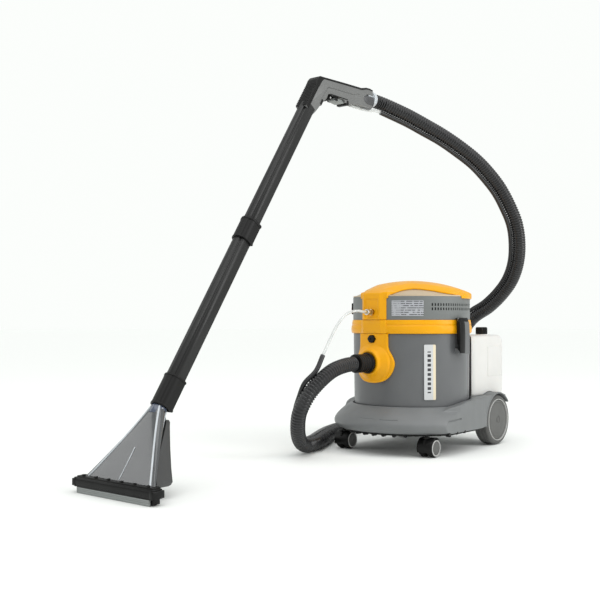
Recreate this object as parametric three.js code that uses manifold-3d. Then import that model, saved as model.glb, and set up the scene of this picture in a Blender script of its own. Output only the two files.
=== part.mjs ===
// Spray-extraction carpet cleaner with its hose and floor wand.
// Millimetres, +Z up, the floor is z = 0, the machine faces -Y and its left side is +X.
// The recovery drum's axis is x = 0, y = 0 inside the machine group; the whole object is then
// shifted so that its origin is the middle of its footprint on the floor.

import * as THREE from 'three';
import { mergeVertices } from 'three/addons/utils/BufferGeometryUtils.js';
import Module from 'manifold-3d';

const wasm = await Module();
wasm.setup();

// ---------------------------------------------------------------- driving dimensions

const GAP = 0.3;                       // clearance between pieces that touch
const ROUND = 32;                      // facets round the drum, the head and the base
const FAR = 600;                       // half size of a cutting block that spans the machine
const FOOTPRINT_CENTRE = [-6.93, -372.5]; // middle of the footprint, from the drum's axis

const DRUM = { topR: 170.7, bottomR: 168, wall: 3, bottomZ: 104.3, topZ: 337.7, twistDeg: -6.5 };
const INLET = { z: 256, bore: 24, mouthY: -196 };
const BAND = { inner: 171.6, outer: 177, bottomZ: 338, topZ: 377 };
const HEAD = { r: 172, wall: 3.5, topZ: 443.7, floorZ: 341.2, floorT: 4, motorHole: 62 };
const DOME = { apexZ: 485, sphereR: 381, r: 171.5, wall: 3 };
const COVER = { apexZ: 493, sphereR: 430, r: 177, lipZ: 438, faceY: -180 };
const VENTS = { rows: [420, 408], count: 24, pitchDeg: 2.95, firstDeg: 58.5, width: 4.2, height: 8 };
const SWITCH = { turnDeg: -72, z: 411, spacing: 13 };
const GLAND = { z: 400, turnDeg: -112 };  // where the mains cord enters the head
const BUTTON = { z: 323, r: 11.5, window: 13 };
const COUPLER_Z = 399;

const BASE = { halfWidth: 190, bottomZ: 62, deckZ: 150, seatZ: 104, seatR: 172.3, hollowZ: 96 };
const CARRIAGE = { halfWidth: 176, frontY: 90, rearY: 262, deckRearY: 318, innerHalf: 112 };
const REAR_WHEEL = { y: 215, z: 75, r: 75, width: 46, x: 152, rimR: 62, axleR: 7 };
const FENDER = { inner: 84, outer: 88, side: 178 };
const TRAY = { inner: 90, outer: 204, z: 57, top: 61.7 };
const CASTER = { x: 140.5, swivelY: -148, trail: 13, r: 25.5, width: 19, spread: 13.5, pinR: 5 };

const TANK = { halfTop: 145, halfBottom: 121, frontY: 165, rearY: 320, wall: 3, drumClear: 179 };
const TANK_NECK = { x: 109, y: 235, r: 15, topZ: 347 };
const LATCH = { pivotX: 181, pivotZ: 288, faceX: 188.5, outerX: 192.5, topZ: 383, halfWidth: 23 };

const WAND = { x: -75, y: -1052, leanDeg: 34.1 };
const TUBE_R = 20;                     // wand tube
const SLEEVE_R = 24.5;
const KEEL = { half: 6, reach: 26 };   // rib on the tube's rear that carries the solution line
const STATION = { neck: 221, lowerTube: 262, sleeveTop: 299, midLow: 689, midJoint: 720.5, midHigh: 752 };
const HANDLE = { start: 1133, tubeStop: 1151, axisZ: 1028, endY: 940, half: 21.5 };
const NOZZLE = { halfWidth: 114.5, barHalf: 132.5, lipHalf: 121.5, lipH: 12.7, barTop: 35 };

const HOSE_R = 20.5;
const HOSE_STEPS = 30;
const LINE_R = 4;                      // clear solution tube
const LINE_STEPS = 50;
const LINE_OFFSET = 27.5;              // from the hose's centre line to the tube's

// The hose from the inlet cuff to the handle, and the side of it that the tube is clipped to.
const HOSE_ROUTE = [
  { at: [-28.5, -250.6, 255], side: [-0.3, 0.2, 1] },
  { at: [-32.6, -288, 252], side: [-0.3, 0.2, 1] },
  { at: [-37, -336, 241], side: [-0.3, 0, 1] },
  { at: [-43, -376, 220], side: [-0.5, 0, 1] },
  { at: [-53, -406, 193], side: [-0.8, -0.2, 1] },
  { at: [-67, -422, 162], side: [-1, 0.3, 0.6] },
  { at: [-86, -424, 124], side: [-1, 0.5, 0] },
  { at: [-108, -402, 78], side: [-1, 0.6, 0.2] },
  { at: [-134, -360, 44], side: [-1, 0.2, 0.6] },
  { at: [-156, -310, 25], side: [-1, 0, 0.7] },
  { at: [-170, -262, 21], side: [-1, 0, 0.5] },
  { at: [-188, -208, 21], side: [-1, 0, 0.5] },
  { at: [-214, -156, 21], side: [-1, 0, 0.5] },
  { at: [-250, -85, 21], side: [-1, 0, 0.5] },
  { at: [-284, -9, 21], side: [-1, 0, 0.5] },
  { at: [-317, 90, 21], side: [-1, 0, 0.5] },
  { at: [-334, 200, 21], side: [-1, 0, 0.5] },
  { at: [-331, 305, 21], side: [-1, 0.2, 0.6] },
  { at: [-299, 392, 36], side: [-0.8, 0.3, 0.8] },
  { at: [-240, 446, 100], side: [-0.5, 0.3, 0.7] },
  { at: [-168, 473, 212], side: [-0.7, 0, 0.6] },
  { at: [-108, 482, 312], side: [-0.8, -0.2, 0.5] },
  { at: [-52, 483, 382], side: [-0.7, -0.4, 0.5] },
  { at: [15, 473, 421], side: [-0.5, -0.6, 0.6] },
  { at: [68, 464, 464], side: [-0.6, -0.6, 0.4] },
  { at: [112, 448, 512], side: [-0.7, -0.6, 0.2] },
  { at: [144, 423, 570], side: [-0.7, -0.6, 0] },
  { at: [163, 390, 631], side: [-0.7, -0.6, -0.1] },
  { at: [166, 364, 687], side: [-0.6, -0.6, -0.3] },
  { at: [156, 339, 738], side: [-0.6, -0.6, -0.4] },
  { at: [141, 305, 791], side: [-0.5, -0.5, -0.6] },
  { at: [122, 263, 837], side: [-0.5, -0.4, -0.7] },
  { at: [99, 219, 877], side: [-0.4, -0.4, -0.8] },
  { at: [69, 169, 914], side: [-0.4, -0.3, -0.9] },
  { at: [39, 119, 945], side: [-0.3, -0.3, -1] },
  { at: [10, 70, 970], side: [-0.3, -0.2, -1] },
  { at: [-18, 22, 993], side: [-0.2, -0.1, -1] },
  { at: [-47, -30, 1013], side: [-0.1, 0, -1] },
  { at: [-63, -56, 1022.5], side: [0, 0, -1] },
  { at: [-72, -75, 1026.9], side: [0, 0, -1] },
  { at: [-75, -89, 1028], side: [0, 0, -1] },
  { at: [-75, -96, 1028], side: [0, 0, -1] },
];
const CLIPPED_FROM = 4;                // route points between which the tube runs on the hose
const CLIPPED_TO = 39;
// The free tube from the coupler down to the hose, and from the hose to the spray valve.
const LINE_HEAD = [
  [-23.8, -209.3, 399],
  [-27.5, -227, 402],
  [-36, -251, 400],
  [-44, -275, 389],
  [-50, -302, 362],
  [-53, -330, 325],
  [-55, -360, 281],
  [-57, -388, 240],
];
const LINE_TAIL = [
  [-75, -95, 997],
  [-75, -128, 993.5],
  [-75, -165, 992],
  [-75, -206.4, 992],
];

// ---------------------------------------------------------------- materials

const finish = (color, roughness, metalness = 0, extra = {}) =>
  new THREE.MeshStandardMaterial({ color, roughness, metalness, ...extra });

const MATERIALS = {
  baseGrey: finish(0x8a8d8f, 0.55),
  drumGrey: finish(0x727577, 0.5),
  headGrey: finish(0x7d8182, 0.55),
  yellow: finish(0xf2a91a, 0.42),
  domeGrey: finish(0xb9b4ab, 0.5),
  black: finish(0x1c1d1c, 0.6),
  rubber: finish(0x2a2a2a, 0.85),
  tyreGrey: finish(0x5c5d5b, 0.8),
  hubGrey: finish(0x616160, 0.6),
  tankWhite: finish(0xe6e5e1, 0.4, 0, { transparent: true, opacity: 0.9 }),
  labelCream: finish(0xe3dcc8, 0.35),
  labelSilver: finish(0x9fa1a6, 0.4, 0.3),
  brass: finish(0xb9a06a, 0.3, 0.9),
  steel: finish(0xa9abad, 0.35, 0.9),
  hoseBlack: finish(0x262626, 0.6),
  clear: finish(0xc9cdd0, 0.15, 0, { transparent: true, opacity: 0.4 }),
  wandGrey: finish(0x4a4b4a, 0.5),
  handleGrey: finish(0x787a79, 0.55),
  lipGrey: finish(0x8b8e8c, 0.7),
  switchRed: finish(0x9b2b20, 0.4),
};

// ---------------------------------------------------------------- solids

// A closed mesh as a solid: shared vertices merged, triangles without area left out.
function toSolid(geometry) {
  const bare = geometry.index ? geometry.toNonIndexed() : geometry.clone();
  bare.deleteAttribute('normal');
  bare.deleteAttribute('uv');
  const merged = mergeVertices(bare, 1e-3);
  const corners = merged.index.array;
  const triVerts = [];
  for (let i = 0; i < corners.length; i += 3) {
    const [a, b, c] = [corners[i], corners[i + 1], corners[i + 2]];
    if (a !== b && b !== c && c !== a) triVerts.push(a, b, c);
  }
  const vertProperties = merged.attributes.position.array;
  return new wasm.Manifold(new wasm.Mesh({
    numProp: 3,
    vertProperties,
    triVerts: new Uint32Array(triVerts),
  }));
}

function toGeometry(solid) {
  const { vertProperties, triVerts } = solid.getMesh();
  const geometry = new THREE.BufferGeometry();
  geometry.setAttribute('position', new THREE.BufferAttribute(Float32Array.from(vertProperties), 3));
  geometry.setIndex(new THREE.BufferAttribute(Uint32Array.from(triVerts), 1));
  geometry.computeVertexNormals();
  return geometry;
}

// A block between two corners.
function block([x0, y0, z0], [x1, y1, z1]) {
  const geometry = new THREE.BoxGeometry(x1 - x0, y1 - y0, z1 - z0);
  return toSolid(geometry.translate((x0 + x1) / 2, (y0 + y1) / 2, (z0 + z1) / 2));
}

// A solid of revolution about +Z from a profile of [radius, height] points.
function revolve(profile, segments = ROUND) {
  const points = profile.map(([r, z]) => new THREE.Vector2(r, z));
  return toSolid(new THREE.LatheGeometry(points, segments).rotateX(Math.PI / 2));
}

// A closed ring of revolution: its profile ends where it starts.
const revolveRing = (profile, segments) => revolve([...profile, profile[0]], segments);

const turned = (solid, x, y, z) => solid.rotate([x, y, z]);
const moved = (solid, x, y, z) => solid.translate([x, y, z]);

// A round bar between two heights on the Z axis.
const bar = (r, z0, z1, segments = 16) => revolve([[0, z0], [r, z0], [r, z1], [0, z1]], segments);

// The same bar laid along +X, or along -Y.
const barX = (r, x0, x1, segments) => turned(bar(r, x0, x1, segments), 0, 90, 0);
const barY = (r, depth0, depth1, segments) => turned(bar(r, depth0, depth1, segments), 90, 0, 0);

// An outline of [x, y] points pushed up from z0 to z1.
function plate(outline, z0, z1) {
  const shape = new THREE.Shape(outline.map(([x, y]) => new THREE.Vector2(x, y)));
  const geometry = new THREE.ExtrudeGeometry(shape, { depth: z1 - z0, bevelEnabled: false });
  return toSolid(geometry.translate(0, 0, z0));
}

// An outline of [y, z] points pushed along X, the same distance both ways.
const sidePlate = (outline, half) => turned(plate(outline, -half, half), 90, 0, 90);

// A skin through rings of points, closed at both ends.
function loft(rings) {
  const count = rings[0].length;
  const positions = [];
  const face = (...corners) => corners.forEach((p) => positions.push(p.x, p.y, p.z));
  for (let level = 0; level + 1 < rings.length; level += 1) {
    for (let i = 0; i < count; i += 1) {
      const next = (i + 1) % count;
      const [a, b] = [rings[level][i], rings[level][next]];
      const [c, d] = [rings[level + 1][next], rings[level + 1][i]];
      face(a, b, c);
      face(a, c, d);
    }
  }
  const centre = (ring) => ring.reduce((sum, p) => sum.add(p), new THREE.Vector3()).divideScalar(count);
  const [bottom, top] = [rings[0], rings[rings.length - 1]];
  const [low, high] = [centre(bottom), centre(top)];
  for (let i = 0; i < count; i += 1) {
    const next = (i + 1) % count;
    face(low, bottom[next], bottom[i]);
    face(high, top[i], top[next]);
  }
  const geometry = new THREE.BufferGeometry();
  geometry.setAttribute('position', new THREE.Float32BufferAttribute(positions, 3));
  return toSolid(geometry);
}

// A level rounded rectangle, counter-clockwise from above.
function roundedRing(halfX, y0, y1, z, corner, perCorner = 3) {
  const ring = [];
  const centres = [
    [halfX - corner, y0 + corner, -90],
    [halfX - corner, y1 - corner, 0],
    [corner - halfX, y1 - corner, 90],
    [corner - halfX, y0 + corner, 180],
  ];
  for (const [cx, cy, from] of centres) {
    for (let i = 0; i <= perCorner; i += 1) {
      const angle = THREE.MathUtils.degToRad(from + (90 * i) / perCorner);
      ring.push(new THREE.Vector3(cx + corner * Math.cos(angle), cy + corner * Math.sin(angle), z));
    }
  }
  return ring;
}

// A round tube along a smooth curve through points.
function tubeAlong(points, radius, sides, steps) {
  const shape = new THREE.Shape();
  for (let i = 0; i < sides; i += 1) {
    const angle = (2 * Math.PI * i) / sides;
    const corner = [radius * Math.cos(angle), radius * Math.sin(angle)];
    if (i === 0) shape.moveTo(...corner);
    else shape.lineTo(...corner);
  }
  const extrudePath = new THREE.CatmullRomCurve3(points);
  return new THREE.ExtrudeGeometry(shape, { steps, extrudePath, bevelEnabled: false });
}

const arc = (radius, fromDeg, toDeg, count, [cx, cy] = [0, 0]) =>
  Array.from({ length: count + 1 }, (_, i) => {
    const angle = THREE.MathUtils.degToRad(fromDeg + ((toDeg - fromDeg) * i) / count);
    return [cx + radius * Math.cos(angle), cy + radius * Math.sin(angle)];
  });

const capHeight = ({ apexZ, sphereR }, r) => apexZ - sphereR + Math.sqrt(sphereR ** 2 - r ** 2);

// ---------------------------------------------------------------- scene graph

const object = new THREE.Group();
const machine = new THREE.Group();
const drumGroup = new THREE.Group();
const wand = new THREE.Group();
object.add(machine);
machine.add(drumGroup, wand);
object.position.set(-FOOTPRINT_CENTRE[0], -FOOTPRINT_CENTRE[1], 0);
drumGroup.rotation.z = THREE.MathUtils.degToRad(DRUM.twistDeg);
wand.position.set(WAND.x, WAND.y, 0);

function addPiece(parent, name, shape, material) {
  const geometry = shape.isBufferGeometry ? shape : toGeometry(shape);
  const mesh = new THREE.Mesh(geometry, material);
  mesh.name = name;
  parent.add(mesh);
  return mesh;
}

// ---------------------------------------------------------------- base and carriage

function baseChassis() {
  const flare = revolve([
    [0, BASE.bottomZ], [207, BASE.bottomZ], [221, 67], [228, 78], [227, 89],
    [219, 101], [207, 113], [193, 124], [178, 134], [0, 135],
  ]);
  const frontHalf = flare.intersect(block([-BASE.halfWidth, -FAR, 0], [BASE.halfWidth, 110, FAR]));
  // Side wings climb from the front corners to the deck that carries the solution tank.
  const wings = sidePlate([
    [-140, 70], [0, 74], [100, 82], [100, BASE.deckZ], [8, BASE.deckZ], [-150, 106],
  ], BASE.halfWidth).intersect(bar(226, 0, FAR, ROUND));
  const { halfWidth, frontY, rearY, deckRearY, innerHalf } = CARRIAGE;
  const carriage = block([-halfWidth, frontY, 82], [halfWidth, rearY, BASE.deckZ]);
  const deck = block([-122, frontY, 138], [122, deckRearY, 147.7]);
  const fenders = moved(barX(FENDER.outer, -FENDER.side, FENDER.side, 28), 0, REAR_WHEEL.y, REAR_WHEEL.z)
    .intersect(block([-FAR, frontY, 60], [FAR, rearY, FAR]));
  let body = frontHalf.add(wings).add(carriage).add(deck).add(fenders);

  const wheelRoom = (x0, x1) => moved(barX(FENDER.inner, x0, x1, 28), 0, REAR_WHEEL.y, REAR_WHEEL.z);
  body = body.subtract(wheelRoom(124, FAR)).subtract(wheelRoom(-FAR, -124));
  body = body.subtract(block([-122.4, 160, 147.7], [122.4, FAR, FAR]));
  body = body.subtract(bar(BASE.seatR, BASE.seatZ, FAR, ROUND));
  const hollow = revolve([[0, 0], [208, 0], [208, 76], [196, 88], [184, BASE.hollowZ], [0, BASE.hollowZ]], 32)
    .intersect(block([-184, -FAR, 0], [184, 96, FAR]));
  const bosses = [-CASTER.x, CASTER.x].map((x) => moved(bar(16, TRAY.top + GAP, 110), x, CASTER.swivelY, 0));
  body = body.subtract(hollow.subtract(bosses[0]).subtract(bosses[1]));
  body = body.subtract(block([-innerHalf, 88, 0], [innerHalf, FAR, 138]));
  for (const x of [-CASTER.x, CASTER.x]) {
    body = body.subtract(moved(bar(CASTER.pinR + GAP, 0, 84), x, CASTER.swivelY, 0));
  }
  body = body.subtract(moved(barX(REAR_WHEEL.axleR + GAP, -FAR, FAR), 0, REAR_WHEEL.y, REAR_WHEEL.z));
  return body.subtract(moved(bar(12, 0, FAR), 0, 240, 0));
}

// A dark tray closes the base from below; lugs along its rim show under the edge.
function underTray() {
  const { inner, outer, z, top } = TRAY;
  let tray = revolveRing([[inner, z], [outer, z], [outer, top], [inner, top]], 36);
  for (let i = 0; i < 15; i += 1) {
    const lug = block([-5, -202, z - 4], [5, -180, z + 1]);
    tray = tray.add(turned(lug, 0, 0, -63 + 9 * i));
  }
  tray = tray.intersect(block([-183, -FAR, 0], [183, 90, FAR]));
  for (const x of [-CASTER.x, CASTER.x]) {
    tray = tray.subtract(moved(bar(50, 0, z), x, CASTER.swivelY, 0));
    tray = tray.subtract(moved(bar(CASTER.pinR + GAP, 0, FAR), x, CASTER.swivelY, 0));
  }
  return tray;
}

addPiece(machine, 'base_chassis', baseChassis(), MATERIALS.baseGrey);
addPiece(machine, 'under_tray', underTray(), MATERIALS.black);

// ---------------------------------------------------------------- rear wheels

function rearTyre() {
  const half = REAR_WHEEL.width / 2;
  const { r, rimR } = REAR_WHEEL;
  return turned(revolveRing([
    [rimR, half - 4], [rimR, 4 - half], [rimR + 3, -half], [r - 6, -half], [r, 5 - half],
    [r, half - 5], [r - 6, half], [rimR + 3, half],
  ], 24), 0, 90, 0);
}

function rearHub() {
  const half = REAR_WHEEL.width / 2;
  const bore = REAR_WHEEL.axleR + GAP;
  const rim = REAR_WHEEL.rimR - GAP;
  return turned(revolveRing([
    [bore, -half], [rim, 4 - half], [rim, half - 5], [rim - 4, half - 1], [bore, half - 1],
  ], 24), 0, 90, 0);
}

const { x: wheelX, y: wheelY, z: wheelZ } = REAR_WHEEL;
addPiece(machine, 'rear_axle', moved(barX(REAR_WHEEL.axleR, -172, 172), 0, wheelY, wheelZ), MATERIALS.steel);
for (const [side, sign] of [['left', 1], ['right', -1]]) {
  const wheel = new THREE.Group();
  wheel.position.set(sign * wheelX, wheelY, wheelZ);
  if (sign < 0) wheel.rotation.z = Math.PI;
  machine.add(wheel);
  addPiece(wheel, `${side}_wheel_tyre`, rearTyre(), MATERIALS.tyreGrey);
  addPiece(wheel, `${side}_wheel_hub`, rearHub(), MATERIALS.hubGrey);
}

// ---------------------------------------------------------------- twin-wheel casters

// Hood, web, stub axle and swivel pin in one piece; the wheels trail behind the pin.
function casterFork() {
  const { r, trail, pinR, spread, width } = CASTER;
  const half = spread + width / 2;
  const hoodOuter = arc(r + 3, -25, 125, 8, [0, r]);
  const hoodInner = arc(r + 1, 125, -25, 8, [0, r]);
  const outline = hoodOuter.concat(hoodInner).map(([y, z]) => [-y, z]).reverse();
  const hood = moved(sidePlate(outline, half), 0, trail, 0);
  const web = sidePlate([[-14, 38], [-12, 49], [trail, r + r + 1.5], [trail + 6, 40], [trail + 7, r - 8],
    [trail - 7, r - 8]], 2.6);
  const axle = moved(barX(3, -half + 2, half - 2, 10), 0, trail, r);
  const pin = bar(pinR, 53, 80, 12);
  const collar = bar(9, 52.2, 56.4, 12);
  return hood.add(web).add(axle).add(pin).add(collar);
}

function casterWheel() {
  const half = CASTER.width / 2;
  const { r } = CASTER;
  const bore = 3 + GAP;
  return turned(revolveRing([
    [bore, -half], [r - 3, -half], [r, 3 - half], [r, half - 4], [r - 4, half], [bore, half],
  ], 18), 0, 90, 0);
}

for (const [side, sign] of [['left', 1], ['right', -1]]) {
  const caster = new THREE.Group();
  caster.position.set(sign * CASTER.x, CASTER.swivelY, 0);
  machine.add(caster);
  addPiece(caster, `${side}_caster_fork`, casterFork(), MATERIALS.black);
  for (const [place, hand] of [['outer', sign], ['inner', -sign]]) {
    const wheel = addPiece(caster, `${side}_caster_${place}_wheel`, casterWheel(), MATERIALS.tyreGrey);
    wheel.position.set(hand * CASTER.spread, CASTER.trail, CASTER.r);
    if (hand < 0) wheel.rotation.z = Math.PI;
  }
}

// ---------------------------------------------------------------- recovery drum and inlet

function recoveryDrum() {
  const { topR, bottomR, wall, bottomZ, topZ } = DRUM;
  let drum = revolve([
    [0, bottomZ], [bottomR - 3, bottomZ], [bottomR, bottomZ + 4], [topR, topZ], [topR - wall, topZ],
    [bottomR - wall - 1, bottomZ + wall], [0, bottomZ + wall],
  ]);
  drum = drum.subtract(moved(barY(INLET.bore, 150, 190), 0, 0, INLET.z));
  // Two pairs of hinge ears for the latches.
  for (const turn of [0, 180]) {
    for (const y of [-17, 12.5]) {
      const { pivotX, pivotZ } = LATCH;
      const ear = block([168.5, y, pivotZ - 6.5], [pivotX, y + 4.5, pivotZ + 6.5])
        .add(moved(turned(bar(6.5, y, y + 4.5), -90, 0, 0), pivotX, 0, pivotZ))
        .subtract(moved(turned(bar(3 + GAP, -30, 30, 16), -90, 0, 0), pivotX, 0, pivotZ));
      drum = drum.add(turned(ear, 0, 0, turn));
    }
  }
  return drum;
}

// The yellow shield on the drum's front: a neck below the band that swells into a round mouth.
function inletFitting() {
  const half = [[22, 200], [42, 207], [58, 222], [66, 240], [68, 257], [65, 275], [58, 292], [50, 310],
    [50, 337.7]];
  const mirrored = half.map(([x, z]) => [-x, z]).reverse();
  const shield = turned(plate(half.concat(mirrored), 100, 200), 90, 0, 0)
    .intersect(bar(179, 0, FAR, 72));
  const cone = revolve([[0, 150], [58, 150], [56, 176], [36, -INLET.mouthY], [0, -INLET.mouthY]], 28);
  const mouth = moved(turned(cone, 90, 0, 0), 0, 0, INLET.z);
  const { window } = BUTTON;
  const buttonWindow = block([-window, -190, BUTTON.z - window], [window, -160, BUTTON.z + window]);
  return shield.add(mouth)
    .subtract(bar(DRUM.topR + 0.6, 0, FAR, 72))
    .subtract(moved(barY(INLET.bore, 100, 220), 0, 0, INLET.z))
    .subtract(buttonWindow);
}

function rimBand() {
  const { inner, outer, bottomZ, topZ } = BAND;
  return revolveRing([
    [inner, bottomZ], [outer - 2.5, bottomZ], [outer, bottomZ + 3], [outer, topZ - 3],
    [outer - 2.5, topZ], [inner, topZ],
  ]);
}

function drumBadge() {
  const band = revolveRing([[DRUM.topR + GAP, 154], [DRUM.topR + 1.6, 154], [DRUM.topR + 1.6, 308],
    [DRUM.topR + GAP, 308]], 120);
  const strip = block([-17, -FAR, 0], [17, 0, FAR]);
  return turned(band.intersect(strip), 0, 0, 56);
}

addPiece(drumGroup, 'recovery_drum', recoveryDrum(), MATERIALS.drumGrey);
addPiece(drumGroup, 'inlet_fitting', inletFitting(), MATERIALS.yellow);
addPiece(drumGroup, 'rim_band', rimBand(), MATERIALS.yellow);
addPiece(drumGroup, 'drum_badge', drumBadge(), MATERIALS.labelCream);

const releaseButton = revolve([[0, 174.6], [BUTTON.r, 174.6], [BUTTON.r, 182], [BUTTON.r - 1.5, 183.5],
  [0, 183.5]], 6);
addPiece(drumGroup, 'inlet_release_button',
  moved(turned(turned(releaseButton, 0, 0, 30), 90, 0, 0), 0, 0, BUTTON.z), MATERIALS.black);

// The hose's end cuff plugs into the mouth.
function hoseInletCuff() {
  return turned(revolveRing([
    [17, 175], [22.5, 175], [22.5, 196.5], [29, 196.5], [29, 204], [26, 206], [25.5, 249.6],
    [17, 249.6],
  ], 16), 90, 0, 0);
}
addPiece(drumGroup, 'hose_inlet_cuff', moved(hoseInletCuff(), 0, 0, INLET.z - 0.6), MATERIALS.black);

// ---------------------------------------------------------------- latches

function latch() {
  const { pivotX, pivotZ, faceX, outerX, topZ, halfWidth } = LATCH;
  const face = block([faceX, -halfWidth, pivotZ - 8], [outerX, halfWidth, topZ]);
  const hook = block([172.8, -halfWidth + 3, 377.6], [outerX, halfWidth - 3, topZ]);
  const cheek = (y) => block([179.6, y, pivotZ + 2], [outerX, y + 3, topZ]);
  const root = block([pivotX, -11.5, pivotZ - 5], [outerX - 1, 11.5, pivotZ + 5]);
  const barrel = moved(turned(bar(6, -11.5, 11.5), -90, 0, 0), pivotX, 0, pivotZ);
  const trunnion = moved(turned(bar(3, -16.8, 16.8, 12), -90, 0, 0), pivotX, 0, pivotZ);
  return face.add(hook).add(cheek(-halfWidth)).add(cheek(halfWidth - 3)).add(root).add(barrel).add(trunnion);
}
for (const [side, turn] of [['left', 0], ['right', 180]]) {
  addPiece(drumGroup, `${side}_latch`, turned(latch(), 0, 0, turn), MATERIALS.headGrey);
}

// ---------------------------------------------------------------- motor head

function headHousing() {
  const { r, wall, topZ, floorZ, floorT, motorHole } = HEAD;
  let head = revolveRing([
    [motorHole, floorZ], [171.2, floorZ], [171.2, 377.4], [r, 377.4], [r, topZ], [r - wall, topZ],
    [r - wall, floorZ + floorT], [motorHole, floorZ + floorT],
  ]);
  for (const z of VENTS.rows) {
    for (let i = 0; i < VENTS.count; i += 1) {
      const slot = block([-VENTS.width / 2, -FAR, z - VENTS.height / 2],
        [VENTS.width / 2, -150, z + VENTS.height / 2]);
      head = head.subtract(turned(slot, 0, 0, VENTS.firstDeg + i * VENTS.pitchDeg));
    }
  }
  return head;
}

function headDome() {
  const radii = [0, 70, 130, DOME.r];
  const outer = radii.map((r) => [r, capHeight(DOME, r) + (r === DOME.r ? 0.2 : 0)]);
  const inner = [0, 70, 130, 166].map((r) => [r, capHeight(DOME, r) - DOME.wall]);
  return revolve([...inner, [DOME.r, 444], ...outer.reverse()]);
}

// The yellow cover: a front panel that runs up over the dome and widens to wrap the rear rim.
function handleCover() {
  const radii = [0, 70, 130];
  const under = radii.map((r) => [r, capHeight(DOME, r) + 0.5]);
  const over = radii.map((r) => [r, capHeight(COVER, r)]).reverse();
  const shell = revolve([
    ...under, [172.6, 444.6], [172.6, COVER.lipZ], [COVER.r, COVER.lipZ], [COVER.r, 452.5],
    [174.5, 455.6], ...over,
  ]);
  const edge = new THREE.SplineCurve(
    [[46, -182], [50, -168], [57, -150], [66, -125], [85, -97], [121, -70], [160, -42], [186, -22]]
      .map(([x, y]) => new THREE.Vector2(x, y)),
  ).getPoints(12).map(({ x, y }) => [x, y]);
  const outline = [...edge, [200, 200]];
  const plan = plate([...outline, ...outline.map(([x, y]) => [-x, y]).reverse()], 300, 520);
  const face = COVER.faceY;
  const panel = plate([[-30, face], [30, face], [46, face + 13], [46, -120], [-46, -120], [-46, face + 13]],
    377.4, 500);
  const panelCap = revolve([[0, 300], [190, 300], [190, 449], [178, 454.6], [172, 457], ...over]);
  const trimmedPanel = panel.intersect(panelCap).subtract(bar(HEAD.r + 0.6, 0, 444.2, ROUND))
    .subtract(revolve([...under, [178, 443], [178, 300], [0, 300]].reverse()));
  return shell.intersect(plan).add(trimmedPanel)
    .subtract(moved(barY(7.3, 150, 200, 20), 0, 0, COUPLER_Z));
}

function vacuumMotor() {
  return revolveRing([
    [18, 322], [60, 322], [60, 345.6], [72, 345.6], [72, 350], [52, 350], [52, 430], [0, 430],
    [0, 382], [4.6, 382], [4.6, 348], [56, 348], [56, 325], [18, 325],
  ], 16);
}

function fanRotor() {
  let rotor = revolve([[0, 328], [50, 328], [50, 330.5], [12, 330.5], [12, 343], [4, 343], [4, 380],
    [0, 380]], 16);
  for (let i = 0; i < 6; i += 1) {
    rotor = rotor.add(turned(block([8, -1, 329], [49, 1, 343]), 0, 0, 60 * i));
  }
  return rotor;
}

function solutionPump() {
  return block([-26, 84, 345.6], [26, 128, 392])
    .add(moved(turned(bar(17, -52, 20), 0, 90, 0), 0, 106, 374));
}

function floatCage() {
  let cage = revolveRing([
    [13, 262], [40, 262], [40, 317], [58, 317], [58, 321.6], [30, 321.6], [30, 317], [37, 317],
    [37, 265], [13, 265],
  ], 16);
  for (const turn of [0, 90]) {
    cage = cage.subtract(turned(block([-12, -60, 270], [12, 60, 309]), 0, 0, turn));
  }
  return cage;
}

function labelOnHead(fromDeg, toDeg, z0, z1) {
  const [inner, outer] = [HEAD.r + 0.4, HEAD.r + 1.4];
  const ring = revolveRing([[inner, z0], [outer, z0], [outer, z1], [inner, z1]], 120);
  const reach = 260;
  return ring.intersect(plate([[0, 0], ...arc(reach, fromDeg - 90, toDeg - 90, 4)], 0, FAR));
}

addPiece(drumGroup, 'head_gasket',
  revolveRing([[158, 338], [170.6, 338], [170.6, 340.9], [158, 340.9]]), MATERIALS.rubber);
addPiece(drumGroup, 'head_housing', headHousing(), MATERIALS.headGrey);
addPiece(drumGroup, 'head_dome', headDome(), MATERIALS.domeGrey);
addPiece(drumGroup, 'handle_cover', handleCover(), MATERIALS.yellow);
addPiece(drumGroup, 'data_plate', labelOnHead(20, 50, 388, 432), MATERIALS.labelSilver);
addPiece(drumGroup, 'vacuum_motor', vacuumMotor(), MATERIALS.steel);
addPiece(drumGroup, 'fan_rotor', fanRotor(), MATERIALS.steel);
addPiece(drumGroup, 'solution_pump', solutionPump(), MATERIALS.black);
addPiece(drumGroup, 'float_cage', floatCage(), MATERIALS.black);
addPiece(drumGroup, 'float_ball',
  toSolid(new THREE.SphereGeometry(20, 14, 9)).translate([0, 0, 285.4]), MATERIALS.lipGrey);

// Quick coupler for the solution tube: a fixed brass body and a collar that slides back.
const couplerBody = revolve([[0, 176], [7, 176], [7, 180.4], [9.5, 180.4], [9.5, 184.5], [5, 184.5], [5, 203],
  [2.8, 204], [2.8, 209.8], [0, 209.8]], 12);
const couplerCollar = revolveRing([[5.2, 190.5], [8.6, 190.5], [8.6, 202], [5.2, 202]], 12);
addPiece(drumGroup, 'coupler_body', moved(turned(couplerBody, 90, 0, 0), 0, 0, COUPLER_Z), MATERIALS.brass);
addPiece(drumGroup, 'coupler_collar', moved(turned(couplerCollar, 90, 0, 0), 0, 0, COUPLER_Z),
  MATERIALS.steel);

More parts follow.
